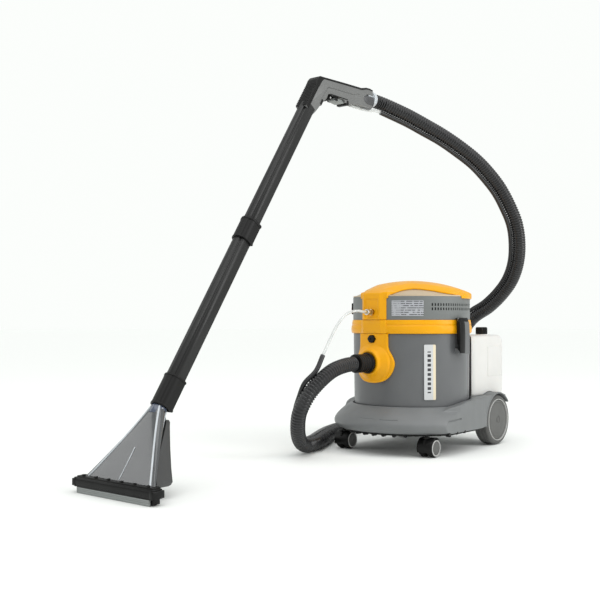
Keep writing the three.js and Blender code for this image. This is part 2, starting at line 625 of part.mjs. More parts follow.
// Switch panel and mains inlet on the head's right side.
function switchBezel() {
  let bezel = block([-30, -181, SWITCH.z - 17], [30, -150, SWITCH.z + 17])
    .subtract(bar(HEAD.r + 0.4, 0, FAR, 72));
  for (const x of [-SWITCH.spacing, SWITCH.spacing]) {
    bezel = bezel.subtract(block([x - 9, -200, SWITCH.z - 12.5], [x + 9, -174, SWITCH.z + 12.5]));
  }
  return turned(bezel, 0, 0, SWITCH.turnDeg);
}
function rocker(x) {
  const outline = [[-4, -11], [4, -11], [5.5, 0], [4, 11], [-4, 11]].map(([y, z]) => [-y, z]);
  return turned(moved(sidePlate(outline.reverse(), 8), x, -180, SWITCH.z), 0, 0, SWITCH.turnDeg);
}
addPiece(drumGroup, 'switch_bezel', switchBezel(), MATERIALS.black);
addPiece(drumGroup, 'vacuum_switch', rocker(-SWITCH.spacing), MATERIALS.switchRed);
addPiece(drumGroup, 'pump_switch', rocker(SWITCH.spacing), MATERIALS.switchRed);
const gland = revolveRing([[4, 172.5], [11, 172.5], [11, 178], [7.5, 180], [6.5, 192], [4, 192]], 12);
addPiece(drumGroup, 'cable_gland', turned(moved(turned(gland, 90, 0, 0), 0, 0, GLAND.z), 0, 0, GLAND.turnDeg),
  MATERIALS.black);

// ---------------------------------------------------------------- solution tank

// Rounded body that wraps the drum; its lower part is narrow enough to stand between the wheels.
function solutionTank() {
  const { halfTop, halfBottom, frontY, rearY, wall, drumClear } = TANK;
  const level = (z, half, inset, shrink) => roundedRing(half - inset - shrink, frontY + inset + shrink,
    rearY - inset - shrink, z, 24 - shrink);
  const skin = (shrink) => loft([
    level(148 + shrink, halfBottom, 7, shrink),
    level(154 + shrink * 0.7, halfBottom, 1, shrink),
    level(167 + shrink * 0.5, halfBottom + 1, 0, shrink),
    level(176 + shrink * 0.5, halfTop - 4, 0, shrink),
    level(183, halfTop, 0, shrink),
    level(316, halfTop, 0, shrink),
    level(326 - shrink * 0.7, halfTop, 4, shrink),
    level(331 - shrink, halfTop, 13, shrink),
  ]);
  const { x, y, r, topZ } = TANK_NECK;
  return skin(0).subtract(bar(drumClear, 0, FAR, ROUND))
    .add(moved(bar(r, 320, topZ), x, y, 0))
    .subtract(skin(wall).subtract(bar(drumClear + wall, 0, FAR, ROUND)))
    .subtract(moved(bar(r - 2.5, 322, FAR), x, y, 0))
    .subtract(moved(bar(10.3, 0, 160), 0, 240, 0));
}
const tankCap = revolve([[0, 351], [15.5, 351], [15.5, 333.5], [18, 333.5], [18, 355], [0, 355]], 20);
const outletValve = revolve([[0, 141], [6, 141], [9.8, 148], [9.8, 151.4], [13, 151.4], [13, 156], [4, 156],
  [4, 172], [0, 172]], 12);
addPiece(machine, 'solution_tank', solutionTank(), MATERIALS.tankWhite);
addPiece(machine, 'tank_cap', moved(tankCap, TANK_NECK.x, TANK_NECK.y, 0), MATERIALS.black);
addPiece(machine, 'tank_outlet_valve', moved(outletValve, 0, 240, 0), MATERIALS.black);

// ---------------------------------------------------------------- wand

const LEAN = THREE.MathUtils.degToRad(WAND.leanDeg);
const along = new THREE.Vector3(0, Math.sin(LEAN), Math.cos(LEAN));
const behind = new THREE.Vector3(0, Math.cos(LEAN), -Math.sin(LEAN));
// A point on the wand's axis at a distance from the floor, moved square to it towards the rear.
const station = (distance, offset = 0) =>
  along.clone().multiplyScalar(distance).addScaledVector(behind, offset);

// The tube's section, a circle with a square keel on its rear side, as an outline in local x, y.
function keelOutline(radius, half, reach) {
  const start = THREE.MathUtils.radToDeg(Math.acos(half / radius));
  return [...arc(radius, 180 - start, 360 + start, 20), [half, reach], [-half, reach]];
}

function keelBar(grow, from, to) {
  return plate(keelOutline(TUBE_R + grow, KEEL.half + grow, KEEL.reach + grow), from, to);
}

// Wand pieces that follow the tube are built upright and leaned together.
const leaning = new THREE.Group();
leaning.rotation.x = -LEAN;
wand.add(leaning);

const sleeveGrow = SLEEVE_R - TUBE_R;
const { neck, lowerTube, sleeveTop, midLow, midJoint, midHigh } = STATION;
const hollow = bar(TUBE_R - 2.5, 0, 2000);
addPiece(leaning, 'lower_sleeve',
  keelBar(sleeveGrow, neck, sleeveTop).subtract(keelBar(GAP, 0, 2000)), MATERIALS.black);
addPiece(leaning, 'lower_tube', keelBar(0, lowerTube, midJoint - GAP).subtract(hollow), MATERIALS.wandGrey);
addPiece(leaning, 'middle_sleeve',
  keelBar(sleeveGrow, midLow, midHigh).subtract(keelBar(GAP, 0, 2000)), MATERIALS.black);
addPiece(leaning, 'upper_tube',
  keelBar(0, midJoint + GAP, HANDLE.tubeStop - GAP).subtract(hollow), MATERIALS.wandGrey);

// Couplings where the solution line leaves the keel at the joints.
const lineCoupling = () => block([-5, 0, 0], [5, 9, 34]).subtract(block([-2, 2, -1], [2, 6, 35]));
for (const [name, from] of [['lower_line_coupling', 252], ['middle_line_coupling', 704]]) {
  addPiece(leaning, name, moved(lineCoupling(), 0, KEEL.reach + sleeveGrow + GAP, from), MATERIALS.black);
}

function wandHandle() {
  const { start, tubeStop, axisZ, endY, half } = HANDLE;
  const at = (distance, offset) => {
    const p = station(distance, offset);
    return [p.y, p.z];
  };
  const bevel = 4.5;
  const outline = [
    at(start, -SLEEVE_R), at(start + 98, -SLEEVE_R), [678, axisZ + 17], [690, axisZ + 22],
    [880, axisZ + 22], [894, axisZ + 25], [924, axisZ + 25], [endY, axisZ + 21],
    [endY, axisZ - 22], [905, axisZ - 26], [870, axisZ - 25], [850, axisZ - 22],
    [718, axisZ - 21], at(start, KEEL.reach + sleeveGrow),
  ];
  const shape = new THREE.Shape(outline.reverse().map(([y, z]) => new THREE.Vector2(y, z)));
  const geometry = new THREE.ExtrudeGeometry(shape, {
    depth: 2 * (half - bevel), bevelThickness: bevel, bevelSize: bevel, bevelOffset: -bevel, bevelSegments: 1,
  });
  let handle = turned(toSolid(geometry.translate(0, 0, bevel - half)), 90, 0, 90);
  const lean = (solid) => turned(solid, -WAND.leanDeg, 0, 0);
  handle = handle.subtract(lean(keelBar(GAP, start - 20, tubeStop)));
  const passage = tubeAlong([station(tubeStop - 4), station(1185), new THREE.Vector3(0, 688, 1010),
    new THREE.Vector3(0, 722, axisZ - 1), new THREE.Vector3(0, 780, axisZ),
    new THREE.Vector3(0, endY - 26, axisZ)],
    15.5, 12, 14);
  handle = handle.subtract(toSolid(passage));
  return handle.subtract(moved(turned(bar(18.3, endY - 30, endY + 10), -90, 0, 0), 0, 0, axisZ));
}
addPiece(wand, 'wand_handle', wandHandle(), MATERIALS.handleGrey);

const handleCuff = revolveRing([[15.5, 916], [18, 916], [18, 940.4], [23.5, 940.4], [24, 948], [22, 955.6],
  [15.5, 955.6]], 16);
addPiece(wand, 'hose_handle_cuff',
  moved(turned(handleCuff, -90, 0, 0), 0, 0, HANDLE.axisZ), MATERIALS.clear);

// Spray valve under the grip: a strip with a pivot block at its front and a valve block behind.
function sprayValve() {
  return block([-7, 742, 1001], [7, 846, 1004.6])
    .add(block([-7, 743, 984], [7, 756, 1001]))
    .add(block([-9, 818, 984], [9, 845, 1001]))
    .subtract(moved(turned(bar(4.4, 844, 900, 16), -90, 0, 0), 0, 0, 992))
    .add(moved(barX(2.5, -6.5, 6.5, 12), 0, 763, 992))
    .add(block([-7, 756, 987], [-5, 766, 1001]))
    .add(block([5, 756, 987], [7, 766, 1001]));
}
function sprayTrigger() {
  const outline = [[758.5, 988], [772, 984.5], [800, 983], [815, 986], [815, 991], [800, 995.5], [768, 995.5],
    [758.5, 995.5]];
  return sidePlate(outline, 4.6).subtract(moved(barX(2.8, -20, 20, 16), 0, 763, 992));
}
addPiece(wand, 'spray_valve', sprayValve(), MATERIALS.black);
addPiece(wand, 'spray_trigger', sprayTrigger(), MATERIALS.lipGrey);

// Clear fan between the bar and the lower sleeve: flat and wide below, round at its neck.
function nozzleFan() {
  const sides = 24;
  const fanTop = station(neck - 2);
  const flat = new THREE.Vector3(0, 1, 0);
  const ring = (t, centre, normal, halfX, halfY) => Array.from({ length: sides }, (_, i) => {
    const angle = (2 * Math.PI * i) / sides;
    const power = THREE.MathUtils.lerp(0.35, 1, t);
    const bend = (value) => Math.sign(value) * Math.abs(value) ** power;
    return new THREE.Vector3(bend(Math.cos(angle)) * halfX, 0, 0).add(centre)
      .addScaledVector(normal, bend(Math.sin(angle)) * halfY);
  });
  const rings = (shrink) => {
    const list = [];
    for (const t of [0, 0.3, 0.7, 1]) {
      const centre = new THREE.Vector3(0, 1, NOZZLE.barTop + GAP).lerp(fanTop, t);
      const normal = flat.clone().lerp(behind, t).normalize();
      const halfX = THREE.MathUtils.lerp(NOZZLE.halfWidth, TUBE_R, t) - shrink;
      list.push(ring(t, centre, normal, halfX, THREE.MathUtils.lerp(13, TUBE_R, t) - shrink));
    }
    return list;
  };
  const neckRing = (distance, r) => ring(1, station(distance), behind, r, r);
  const outer = rings(0).concat([neckRing(lowerTube - 1, TUBE_R)]);
  const inner = rings(2.5).concat([neckRing(lowerTube + 9, TUBE_R - 2.5)]);
  inner[0] = inner[0].map((p) => p.clone().setZ(p.z - 1));
  return loft(outer).subtract(loft(inner));
}

function nozzleBar() {
  return block([-NOZZLE.barHalf, -13, NOZZLE.lipH + GAP], [NOZZLE.barHalf, 16, NOZZLE.barTop])
    .subtract(block([-112, -3, 0], [112, 6, FAR]));
}

function lip(y0, y1, half) {
  return sidePlate([[y0, 0], [y1, 0], [y1, NOZZLE.lipH], [y0, NOZZLE.lipH]], half);
}

// Hood that keeps the spray behind the fan: open towards the fan and the floor.
function sprayHood() {
  const section = ([z, front, rear, half], shrink, forward) => [
    new THREE.Vector3(-half + shrink, front - forward, z),
    new THREE.Vector3(half - shrink, front - forward, z),
    new THREE.Vector3(half - shrink, rear - shrink, z), new THREE.Vector3(-half + shrink, rear - shrink, z),
  ];
  const levels = [[24, 36, 84, 88], [60, 52, 100, 68], [154, 127, 143, 20]];
  const inner = [[20, 36, 84, 88], [60, 52, 100, 68], [151, 125, 141, 22]];
  return loft(levels.map((l) => section(l, 0, 0))).subtract(loft(inner.map((l) => section(l, 2.5, 8))));
}

addPiece(wand, 'nozzle_fan', nozzleFan(), MATERIALS.clear);
addPiece(wand, 'nozzle_bar', nozzleBar(), MATERIALS.black);
addPiece(wand, 'front_lip', lip(-11, -6, NOZZLE.lipHalf), MATERIALS.lipGrey);
addPiece(wand, 'rear_lip', lip(8, 13, NOZZLE.lipHalf), MATERIALS.rubber);
addPiece(wand, 'spray_hood', sprayHood(), MATERIALS.wandGrey);
addPiece(wand, 'spray_jet', moved(bar(3.5, 134, 150.5, 12), 0, 126.5, 0), MATERIALS.brass);

// ---------------------------------------------------------------- hose and solution tube

const asVector = (p) => new THREE.Vector3(...p);
const hosePoints = HOSE_ROUTE.map(({ at }) => asVector(at));
addPiece(machine, 'suction_hose', tubeAlong(hosePoints, HOSE_R, 10, HOSE_STEPS), MATERIALS.hoseBlack);

// On the hose the tube keeps its offset, square to the hose, on the side that the route names.
function clippedPoints() {
  const points = [];
  for (let i = CLIPPED_FROM; i <= CLIPPED_TO; i += 1) {
    const tangent = hosePoints[i + 1].clone().sub(hosePoints[i - 1]).normalize();
    const side = asVector(HOSE_ROUTE[i].side);
    side.addScaledVector(tangent, -side.dot(tangent)).normalize();
    points.push(hosePoints[i].clone().addScaledVector(side, LINE_OFFSET));
  }
  return points;
}
const linePoints = [...LINE_HEAD.map(asVector), ...clippedPoints(), ...LINE_TAIL.map(asVector)];
addPiece(machine, 'solution_tube', tubeAlong(linePoints, LINE_R, 8, LINE_STEPS), MATERIALS.clear);

export default object;
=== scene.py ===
"""Looks of the spray-extraction carpet cleaner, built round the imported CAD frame.

Shapes are modelled in millimetres in three local frames (base, drum, wand) that are
found from the frame's own boxes, and are placed by each piece's object matrix in metres.
"""

import math
from math import cos, pi, radians, sin, tan

import bmesh
import bpy
from mathutils import Matrix, Vector


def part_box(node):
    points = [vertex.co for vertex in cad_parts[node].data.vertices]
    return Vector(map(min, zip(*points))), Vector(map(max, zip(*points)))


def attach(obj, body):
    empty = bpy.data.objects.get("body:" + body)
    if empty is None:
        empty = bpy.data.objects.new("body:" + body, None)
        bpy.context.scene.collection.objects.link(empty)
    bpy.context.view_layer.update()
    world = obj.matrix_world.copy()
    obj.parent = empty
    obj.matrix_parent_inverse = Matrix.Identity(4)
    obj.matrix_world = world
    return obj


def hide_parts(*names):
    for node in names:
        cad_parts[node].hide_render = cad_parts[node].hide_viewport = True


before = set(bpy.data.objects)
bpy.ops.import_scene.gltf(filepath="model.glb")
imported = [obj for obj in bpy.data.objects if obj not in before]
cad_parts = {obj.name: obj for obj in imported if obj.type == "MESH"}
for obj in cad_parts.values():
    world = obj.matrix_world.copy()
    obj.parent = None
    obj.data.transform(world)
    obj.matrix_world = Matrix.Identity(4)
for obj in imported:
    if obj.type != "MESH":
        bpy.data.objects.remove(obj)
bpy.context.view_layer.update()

MM = 0.001
SCENE = bpy.context.scene

# ---------------------------------------------------------------- local frames

DRUM_TWIST = radians(-6.5)      # the drum and head sit turned in their cradle
LEAN = radians(34.1)          # the wand's lean towards the machine
band_low, band_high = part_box("rim_band")
bar_low, bar_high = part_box("nozzle_bar")
DRUM_AXIS = Vector(((band_low.x + band_high.x) / 2, (band_low.y + band_high.y) / 2, 0))
WAND_FOOT = Vector(((bar_low.x + bar_high.x) / 2, bar_low.y + 13 * MM, 0))

BASE = Matrix.Translation(DRUM_AXIS)
DRUM = BASE @ Matrix.Rotation(DRUM_TWIST, 4, "Z")
WAND = Matrix.Translation(WAND_FOOT)
TILT = Matrix.Rotation(-LEAN, 4, "X")
LEANING = WAND @ TILT

TURN_X = Matrix.Rotation(pi / 2, 4, "X")       # +Z becomes -Y
TURN_BACK = Matrix.Rotation(-pi / 2, 4, "X")   # +Z becomes +Y
TURN_Y = Matrix.Rotation(pi / 2, 4, "Y")       # +Z becomes +X
SIDEWAYS = Matrix(((0, 0, 1, 0), (1, 0, 0, 0), (0, 1, 0, 0), (0, 0, 0, 1)))  # outline y, z; depth x


def about_z(degrees):
    return Matrix.Rotation(radians(degrees), 4, "Z")


def at(x, y, z):
    return Matrix.Translation((x, y, z))


def away(x, y, z):
    """A shift in metres, for a piece's place, given in millimetres."""
    return Matrix.Translation(Vector((x, y, z)) * MM)


# Places that several pieces share, in millimetres and degrees.
AXLE_Y, AXLE_Z = 215, 75
CASTER_X, CASTER_Y = 140.5, -148
BADGE_TURN, PLATE_TURN, SWITCH_TURN, GLAND_TURN = 56, 35, -72, -112
REAR_AXLE = at(0, AXLE_Y, AXLE_Z) @ TURN_Y
INLET = at(0, 0, 256) @ TURN_X
COUPLER = at(0, 0, 399) @ TURN_X
FILLER = at(109, 235, 0)
HANDLE_BORE = at(0, 0, 1028) @ TURN_BACK
LEVER_PIN = at(0, 763, 992) @ TURN_Y
THUMB_KNOB = at(0, 738, 991.5) @ TURN_Y


# ---------------------------------------------------------------- camera and light

def make_camera():
    """The photograph's view: a fairly long lens, low, from the machine's front left."""
    camera_data = bpy.data.cameras.new("camera")
    camera_data.sensor_width = 36.0
    camera_data.lens = 53.4
    camera = bpy.data.objects.new("camera", camera_data)
    SCENE.collection.objects.link(camera)
    camera.location = DRUM_AXIS + Vector((1.4117, -2.2693, 0.374))
    azimuth, pitch = radians(39), radians(1.35)
    forward = Vector((-sin(azimuth) * cos(pitch), cos(azimuth) * cos(pitch), sin(pitch)))
    camera.rotation_mode = "QUATERNION"
    camera.rotation_quaternion = forward.to_track_quat("-Z", "Y")
    SCENE.camera = camera


def area_light(name, place, target, size, power):
    light = bpy.data.lights.new(name, "AREA")
    light.shape = "RECTANGLE"
    light.size, light.size_y = size
    light.energy = power
    lamp = bpy.data.objects.new(name, light)
    SCENE.collection.objects.link(lamp)
    lamp.location = Vector(place)
    lamp.rotation_mode = "QUATERNION"
    lamp.rotation_quaternion = (Vector(target) - lamp.location).to_track_quat("-Z", "Y")


def make_studio():
    """A white surround that shows at full strength but lights more softly, a white floor, soft lights."""
    world = bpy.data.worlds.new("surround")
    SCENE.world = world
    SCENE.view_settings.view_transform = "Standard"
    world.use_nodes = True
    background = world.node_tree.nodes["Background"]
    background.inputs["Color"].default_value = (0.97, 0.99, 0.97, 1)
    seen = world.node_tree.nodes.new("ShaderNodeLightPath").outputs["Is Camera Ray"]
    strength = world.node_tree.nodes.new("ShaderNodeMapRange")
    as_light, as_seen = 0.66, 1.0
    strength.inputs["To Min"].default_value = as_light
    strength.inputs["To Max"].default_value = as_seen
    world.node_tree.links.new(seen, strength.inputs["Value"])
    world.node_tree.links.new(strength.outputs["Result"], background.inputs["Strength"])

    bm = bmesh.new()
    bmesh.ops.create_circle(bm, cap_ends=True, segments=64, radius=40)
    mesh = bpy.data.meshes.new("floor")
    bm.to_mesh(mesh)
    bm.free()
    floor = bpy.data.objects.new("floor", mesh)
    SCENE.collection.objects.link(floor)
    floor.location.z = -0.0004
    paint = bpy.data.materials.new("floor_paint")
    paint.use_nodes = True
    shader = paint.node_tree.nodes["Principled BSDF"]
    shader.inputs["Base Color"].default_value = (0.93, 0.945, 0.93, 1)
    shader.inputs["Roughness"].default_value = 0.8
    shader.inputs["Specular IOR Level"].default_value = 0.1
    mesh.materials.append(paint)

    sky = bpy.data.lights.new("soft_sky", "SUN")
    sky.energy = 1.35
    sky.angle = radians(70)
    lamp = bpy.data.objects.new("soft_sky", sky)
    SCENE.collection.objects.link(lamp)
    lamp.rotation_euler = (radians(14), radians(12), 0)

    centre = DRUM_AXIS + Vector((0, 0, 0.3))
    area_light("window_left", centre + Vector((-2.6, -2.0, 1.6)), centre, (1.2, 2.4), 10)
    area_light("rim_right", centre + Vector((2.8, 0.6, 1.3)), centre, (1.0, 2.4), 34)


# ---------------------------------------------------------------- materials

def shade(colour, factor):
    return (*(min(1, c * factor) for c in colour), 1)


class Nodes:
    """Short names for the few shader nodes that the materials use."""

    def __init__(self, name):
        self.material = bpy.data.materials.new(name)
        self.material.use_nodes = True
        self.tree = self.material.node_tree
        self.shader = self.tree.nodes["Principled BSDF"]
        self.coordinates = self.tree.nodes.new("ShaderNodeTexCoord").outputs["Object"]

    def link(self, source, target):
        self.tree.links.new(source, target)

    def noise(self, scale, detail=3, stretch=None):
        node = self.tree.nodes.new("ShaderNodeTexNoise")
        node.inputs["Scale"].default_value = scale
        node.inputs["Detail"].default_value = detail
        source = self.coordinates
        if stretch:
            mapping = self.tree.nodes.new("ShaderNodeMapping")
            mapping.inputs["Scale"].default_value = stretch
            self.link(source, mapping.inputs["Vector"])
            source = mapping.outputs["Vector"]
        self.link(source, node.inputs["Vector"])
        return node.outputs["Fac"]

    def mapped(self, value, low, high, to_low, to_high):
        node = self.tree.nodes.new("ShaderNodeMapRange")
        for name, number in (("From Min", low), ("From Max", high), ("To Min", to_low), ("To Max", to_high)):
            node.inputs[name].default_value = number
        self.link(value, node.inputs["Value"])
        return node.outputs["Result"]

    def math(self, operation, a, b=None):
        node = self.tree.nodes.new("ShaderNodeMath")
        node.operation = operation
        for value, socket in ((a, node.inputs[0]), (b, node.inputs[1])):
            if value is None:
                continue
            if isinstance(value, (int, float)):
                socket.default_value = value
            else:
                self.link(value, socket)
        return node.outputs[0]

    def mix(self, factor, a, b):
        node = self.tree.nodes.new("ShaderNodeMix")
        node.data_type = "RGBA"
        self.link(factor, node.inputs["Factor"])
        for value, socket in ((a, node.inputs[6]), (b, node.inputs[7])):
            if isinstance(value, tuple):
                socket.default_value = value
            else:
                self.link(value, socket)
        return node.outputs[2]

    def bump(self, height, strength, distance):
        node = self.tree.nodes.new("ShaderNodeBump")
        node.inputs["Strength"].default_value = strength
        node.inputs["Distance"].default_value = distance
        self.link(height, node.inputs["Height"])
        self.link(node.outputs["Normal"], self.shader.inputs["Normal"])

    def split(self):
        node = self.tree.nodes.new("ShaderNodeSeparateXYZ")
        self.link(self.coordinates, node.inputs[0])
        return node.outputs

    def set(self, **values):
        for name, value in values.items():
            self.shader.inputs[name.replace("_", " ")].default_value = value


def moulded(name, colour, roughness, grain=0.12, grain_scale=900, variation=0.06, wear_and_highlight=0.25, wear_and_highlight_gain=1.6,
            **constants):
    """Moulded plastic or rubber: cloudy tone, fine spark-eroded grain, and sharp edges made lighter by
    pointiness: slight scuffing on most parts, a painted highlight on the hose's rib crests where the gain is
    high.
    """
    n = Nodes(name)
    cloud = n.noise(14, 4)
    streak = n.noise(38, 2, stretch=(1, 1, 0.25))
    tone = n.mix(n.mapped(cloud, 0.3, 0.7, 0, 1), shade(colour, 1 - variation), shade(colour, 1 + variation))
    # Pointiness lightens sharp edges and ridges: scuffing at a low gain, a painted highlight at a high gain.
    edge_pointiness = n.tree.nodes.new("ShaderNodeNewGeometry").outputs["Pointiness"]
    edge = n.mapped(edge_pointiness, 0.53, 0.62, 0, wear_and_highlight)
    n.link(n.mix(edge, tone, shade(colour, wear_and_highlight_gain)), n.shader.inputs["Base Color"])
    n.link(n.mapped(streak, 0.3, 0.7, roughness - 0.05, roughness + 0.06), n.shader.inputs["Roughness"])
    n.bump(n.noise(grain_scale, 2), grain, 0.0004)
    n.set(**constants)
    return n.material


def turned_metal(name, colour, roughness):
    """Turned metal: a fine grain and slightly uneven polish."""
    n = Nodes(name)
    cloud = n.noise(60, 3)
    n.link(n.mix(n.mapped(cloud, 0.3, 0.7, 0, 1), shade(colour, 0.85), shade(colour, 1.1)),
           n.shader.inputs["Base Color"])
    n.link(n.mapped(n.noise(220, 2), 0.3, 0.7, roughness - 0.06, roughness + 0.1),
           n.shader.inputs["Roughness"])
    n.bump(n.noise(1400, 2), 0.1, 0.0002)
    n.set(Metallic=1.0)
    return n.material


def clear_plastic(name, colour, roughness, alpha):
    """Clear or smoked plastic, faintly scratched, that shows what is behind it."""
    n = Nodes(name)
    haze = n.noise(25, 4)
    n.link(n.mix(n.mapped(haze, 0.35, 0.7, 0, 1), shade(colour, 0.88), shade(colour, 1.08)),
           n.shader.inputs["Base Color"])
    n.link(n.mapped(n.noise(70, 3, stretch=(1, 1, 0.1)), 0.3, 0.7, roughness, roughness + 0.08),
           n.shader.inputs["Roughness"])
    n.bump(n.noise(120, 2), 0.05, 0.0004)
    n.set(Alpha=alpha, Coat_Weight=0.6, Coat_Roughness=0.05, Specular_IOR_Level=0.8)
    return n.material


def badge_print():
    """A silver strip with a cream edge and a plain pattern of dark bars along it."""
    n = Nodes("badge_print")
    x, y, z = n.split()
    skin = 172.0          # radius of the printed face
    along = n.math("MULTIPLY", z, 1000)
    angle = n.math("MULTIPLY", n.math("ARCTAN2", x, n.math("MULTIPLY", y, -1)), skin)
    across = n.math("SUBTRACT", angle, radians(BADGE_TURN) * skin)
    silver, cream, ink = (0.60, 0.61, 0.62, 1), (0.78, 0.68, 0.50, 1), (0.03, 0.03, 0.035, 1)
    field = n.mix(n.math("GREATER_THAN", across, 9.0), silver, cream)
    inside = n.math("LESS_THAN", n.math("ABSOLUTE", n.math("SUBTRACT", across, -2.5)), 5.0)
    beat = n.math("LESS_THAN", n.math("FRACT", n.math("DIVIDE", along, 13.0)), 0.62)
    middle = n.math("LESS_THAN", n.math("ABSOLUTE", n.math("SUBTRACT", along, 231.0)), 58.0)
    bars = n.math("MULTIPLY", inside, n.math("MULTIPLY", beat, middle))
    n.link(n.mix(bars, field, ink), n.shader.inputs["Base Color"])
    n.link(n.mapped(n.noise(90, 3), 0.3, 0.7, 0.28, 0.4), n.shader.inputs["Roughness"])
    n.bump(n.noise(400, 2), 0.04, 0.0002)
    n.set(Coat_Weight=0.4, Coat_Roughness=0.15)
    return n.material


def plate_print():
    """A foil plate ruled with dark lines, some of them broken, and a wide left column."""
    n = Nodes("plate_print")
    x, y, z = n.split()
    row_pitch, degrees_per_radian = 6.2, 57.2958
    row = n.math("DIVIDE", n.math("MULTIPLY", z, 1000), row_pitch)
    ruled = n.math("LESS_THAN", n.math("FRACT", row), 0.42)
    angle = n.math("MULTIPLY", n.math("ARCTAN2", x, n.math("MULTIPLY", y, -1)), degrees_per_radian)
    column = n.math("GREATER_THAN", angle, 29.0)
    dashes = n.math("GREATER_THAN", n.noise(170, 2, stretch=(1, 1, 0.4)), 0.44)
    printed = n.math("MULTIPLY", ruled, dashes)
    strong = n.math("MULTIPLY", printed, n.mapped(column, 0, 1, 0.45, 1.0))
    n.link(n.mix(strong, (0.46, 0.47, 0.50, 1), (0.10, 0.10, 0.11, 1)), n.shader.inputs["Base Color"])
    n.link(n.mapped(n.noise(300, 2), 0.3, 0.7, 0.35, 0.5), n.shader.inputs["Roughness"])
    n.bump(n.noise(500, 2), 0.05, 0.0002)
    n.set(Metallic=0.35)
    return n.material


def make_materials():
    return {
        "base_grey": moulded("base_plastic", (0.165, 0.172, 0.175), 0.42, wear_and_highlight=0.3),
        "drum_grey": moulded("drum_plastic", (0.118, 0.122, 0.127), 0.36, grain=0.06, variation=0.04),
        "head_grey": moulded("head_plastic", (0.165, 0.175, 0.172), 0.45, grain=0.2),
        "latch_grey": moulded("latch_plastic", (0.125, 0.130, 0.132), 0.4, grain=0.15),
        "yellow": moulded("yellow_plastic", (0.85, 0.385, 0.002), 0.34, grain=0.07, variation=0.04,
            wear_and_highlight=0.12, Subsurface_Weight=0.06, Subsurface_Radius=(0.004, 0.002, 0.0005),
            Specular_IOR_Level=0.25),
        "dome_grey": moulded("dome_plastic", (0.50, 0.40, 0.28), 0.4, variation=0.05),
        "black_plastic": moulded("black_plastic", (0.006, 0.006, 0.006), 0.34, grain=0.15,
            Specular_IOR_Level=0.2),
        "rubber": moulded("black_rubber", (0.008, 0.008, 0.008), 0.7, grain=0.3, grain_scale=500,
            Specular_IOR_Level=0.2),
        "tyre_grey": moulded("tyre_rubber", (0.095, 0.095, 0.092), 0.62, grain=0.35, grain_scale=450),
        "hub_grey": moulded("hub_plastic", (0.100, 0.100, 0.096), 0.5, grain=0.2),
        "rim_grey": moulded("rim_plastic", (0.48, 0.48, 0.47), 0.4),
        "tank_white": moulded("tank_polyethylene", (0.70, 0.69, 0.67), 0.38, grain=0.05,
            variation=0.025, wear_and_highlight=0.0, Subsurface_Weight=0.35, Subsurface_Radius=(0.02, 0.018, 0.016)),
        "brass": turned_metal("brass_metal", (0.62, 0.47, 0.25), 0.28),
        "steel": turned_metal("steel_metal", (0.55, 0.56, 0.57), 0.3),
        # A high edge gain here paints a highlight on the hose's rib crests; the black line sheath shares
        # this material.
        "hose_black": moulded("hose_plastic", (0.008, 0.008, 0.009), 0.28, grain=0.1, variation=0.12,
            wear_and_highlight=1.0, wear_and_highlight_gain=5.0, Specular_IOR_Level=0.5),
        "clear_tube": clear_plastic("tube_plastic", (0.72, 0.74, 0.73), 0.12, 0.55),
        "smoked": clear_plastic("fan_plastic", (0.075, 0.08, 0.085), 0.10, 0.86),
        "collar": clear_plastic("collar_plastic", (0.07, 0.09, 0.14), 0.12, 0.92),
        "sleeve_grey": moulded("sleeve_plastic", (0.009, 0.009, 0.009), 0.42, grain=0.15,
            Specular_IOR_Level=0.2),
        "hood_grey": moulded("hood_plastic", (0.045, 0.046, 0.046), 0.42, grain=0.15),
        "bead": clear_plastic("bead_plastic", (0.66, 0.70, 0.74), 0.08, 0.88),
        "wand_grey": moulded("wand_plastic", (0.011, 0.011, 0.011), 0.34, grain=0.12,
            Specular_IOR_Level=0.35),
        "handle_grey": moulded("handle_plastic", (0.155, 0.157, 0.155), 0.42, grain=0.2),
        "handle_dark": moulded("handle_dark_plastic", (0.065, 0.066, 0.070), 0.35, grain=0.1),
        "lip_grey": moulded("lip_rubber", (0.24, 0.255, 0.25), 0.6, grain=0.3, grain_scale=500),
        "switch_red": moulded("switch_plastic", (0.33, 0.03, 0.02), 0.25, grain=0.03),
        "badge": badge_print(),
        "plate": plate_print(),
    }


# ---------------------------------------------------------------- shapes, in millimetres

def soften(points, radius=1.5, steps=3, closed=False):
    """The same outline with rounded corners; a point may carry its own radius as a third number."""
    result = []
    count = len(points)
    for i, point in enumerate(points):
        here = Vector(point[:2])
        wanted = point[2] if len(point) > 2 else radius
        if wanted == 0 or (not closed and i in (0, count - 1)):
            result.append((here.x, here.y))
            continue
        before = Vector(points[i - 1][:2]) - here
        after = Vector(points[(i + 1) % count][:2]) - here
        turn = pi - before.angle(after)
        reach = min(wanted * tan(turn / 2), 0.45 * before.length, 0.45 * after.length)
        start, end = here + before.normalized() * reach, here + after.normalized() * reach
        for step in range(steps + 1):
            t = step / steps
            p = (1 - t) ** 2 * start + 2 * t * (1 - t) * here + t * t * end
            result.append((p.x, p.y))
    return result


def smooth_curve(points, per_span=6, closed=False):
    """A Catmull-Rom curve through points of any dimension."""
    vectors = [Vector(p) for p in points]
    count = len(vectors)
    spans = count if closed else count - 1
    curve = []
    for i in range(spans):
        p0 = vectors[i - 1] if closed or i > 0 else 2 * vectors[0] - vectors[1]
        p1, p2 = vectors[i], vectors[(i + 1) % count]
        p3 = vectors[(i + 2) % count] if closed or i + 2 < count else 2 * vectors[-1] - vectors[-2]
        for step in range(per_span):
            t = step / per_span
            curve.append(0.5 * (2 * p1 + (p2 - p0) * t + (2 * p0 - 5 * p1 + 4 * p2 - p3) * t * t
                                + (3 * p1 - p0 - 3 * p2 + p3) * t ** 3))
    if not closed:
        curve.append(vectors[-1])
    return curve


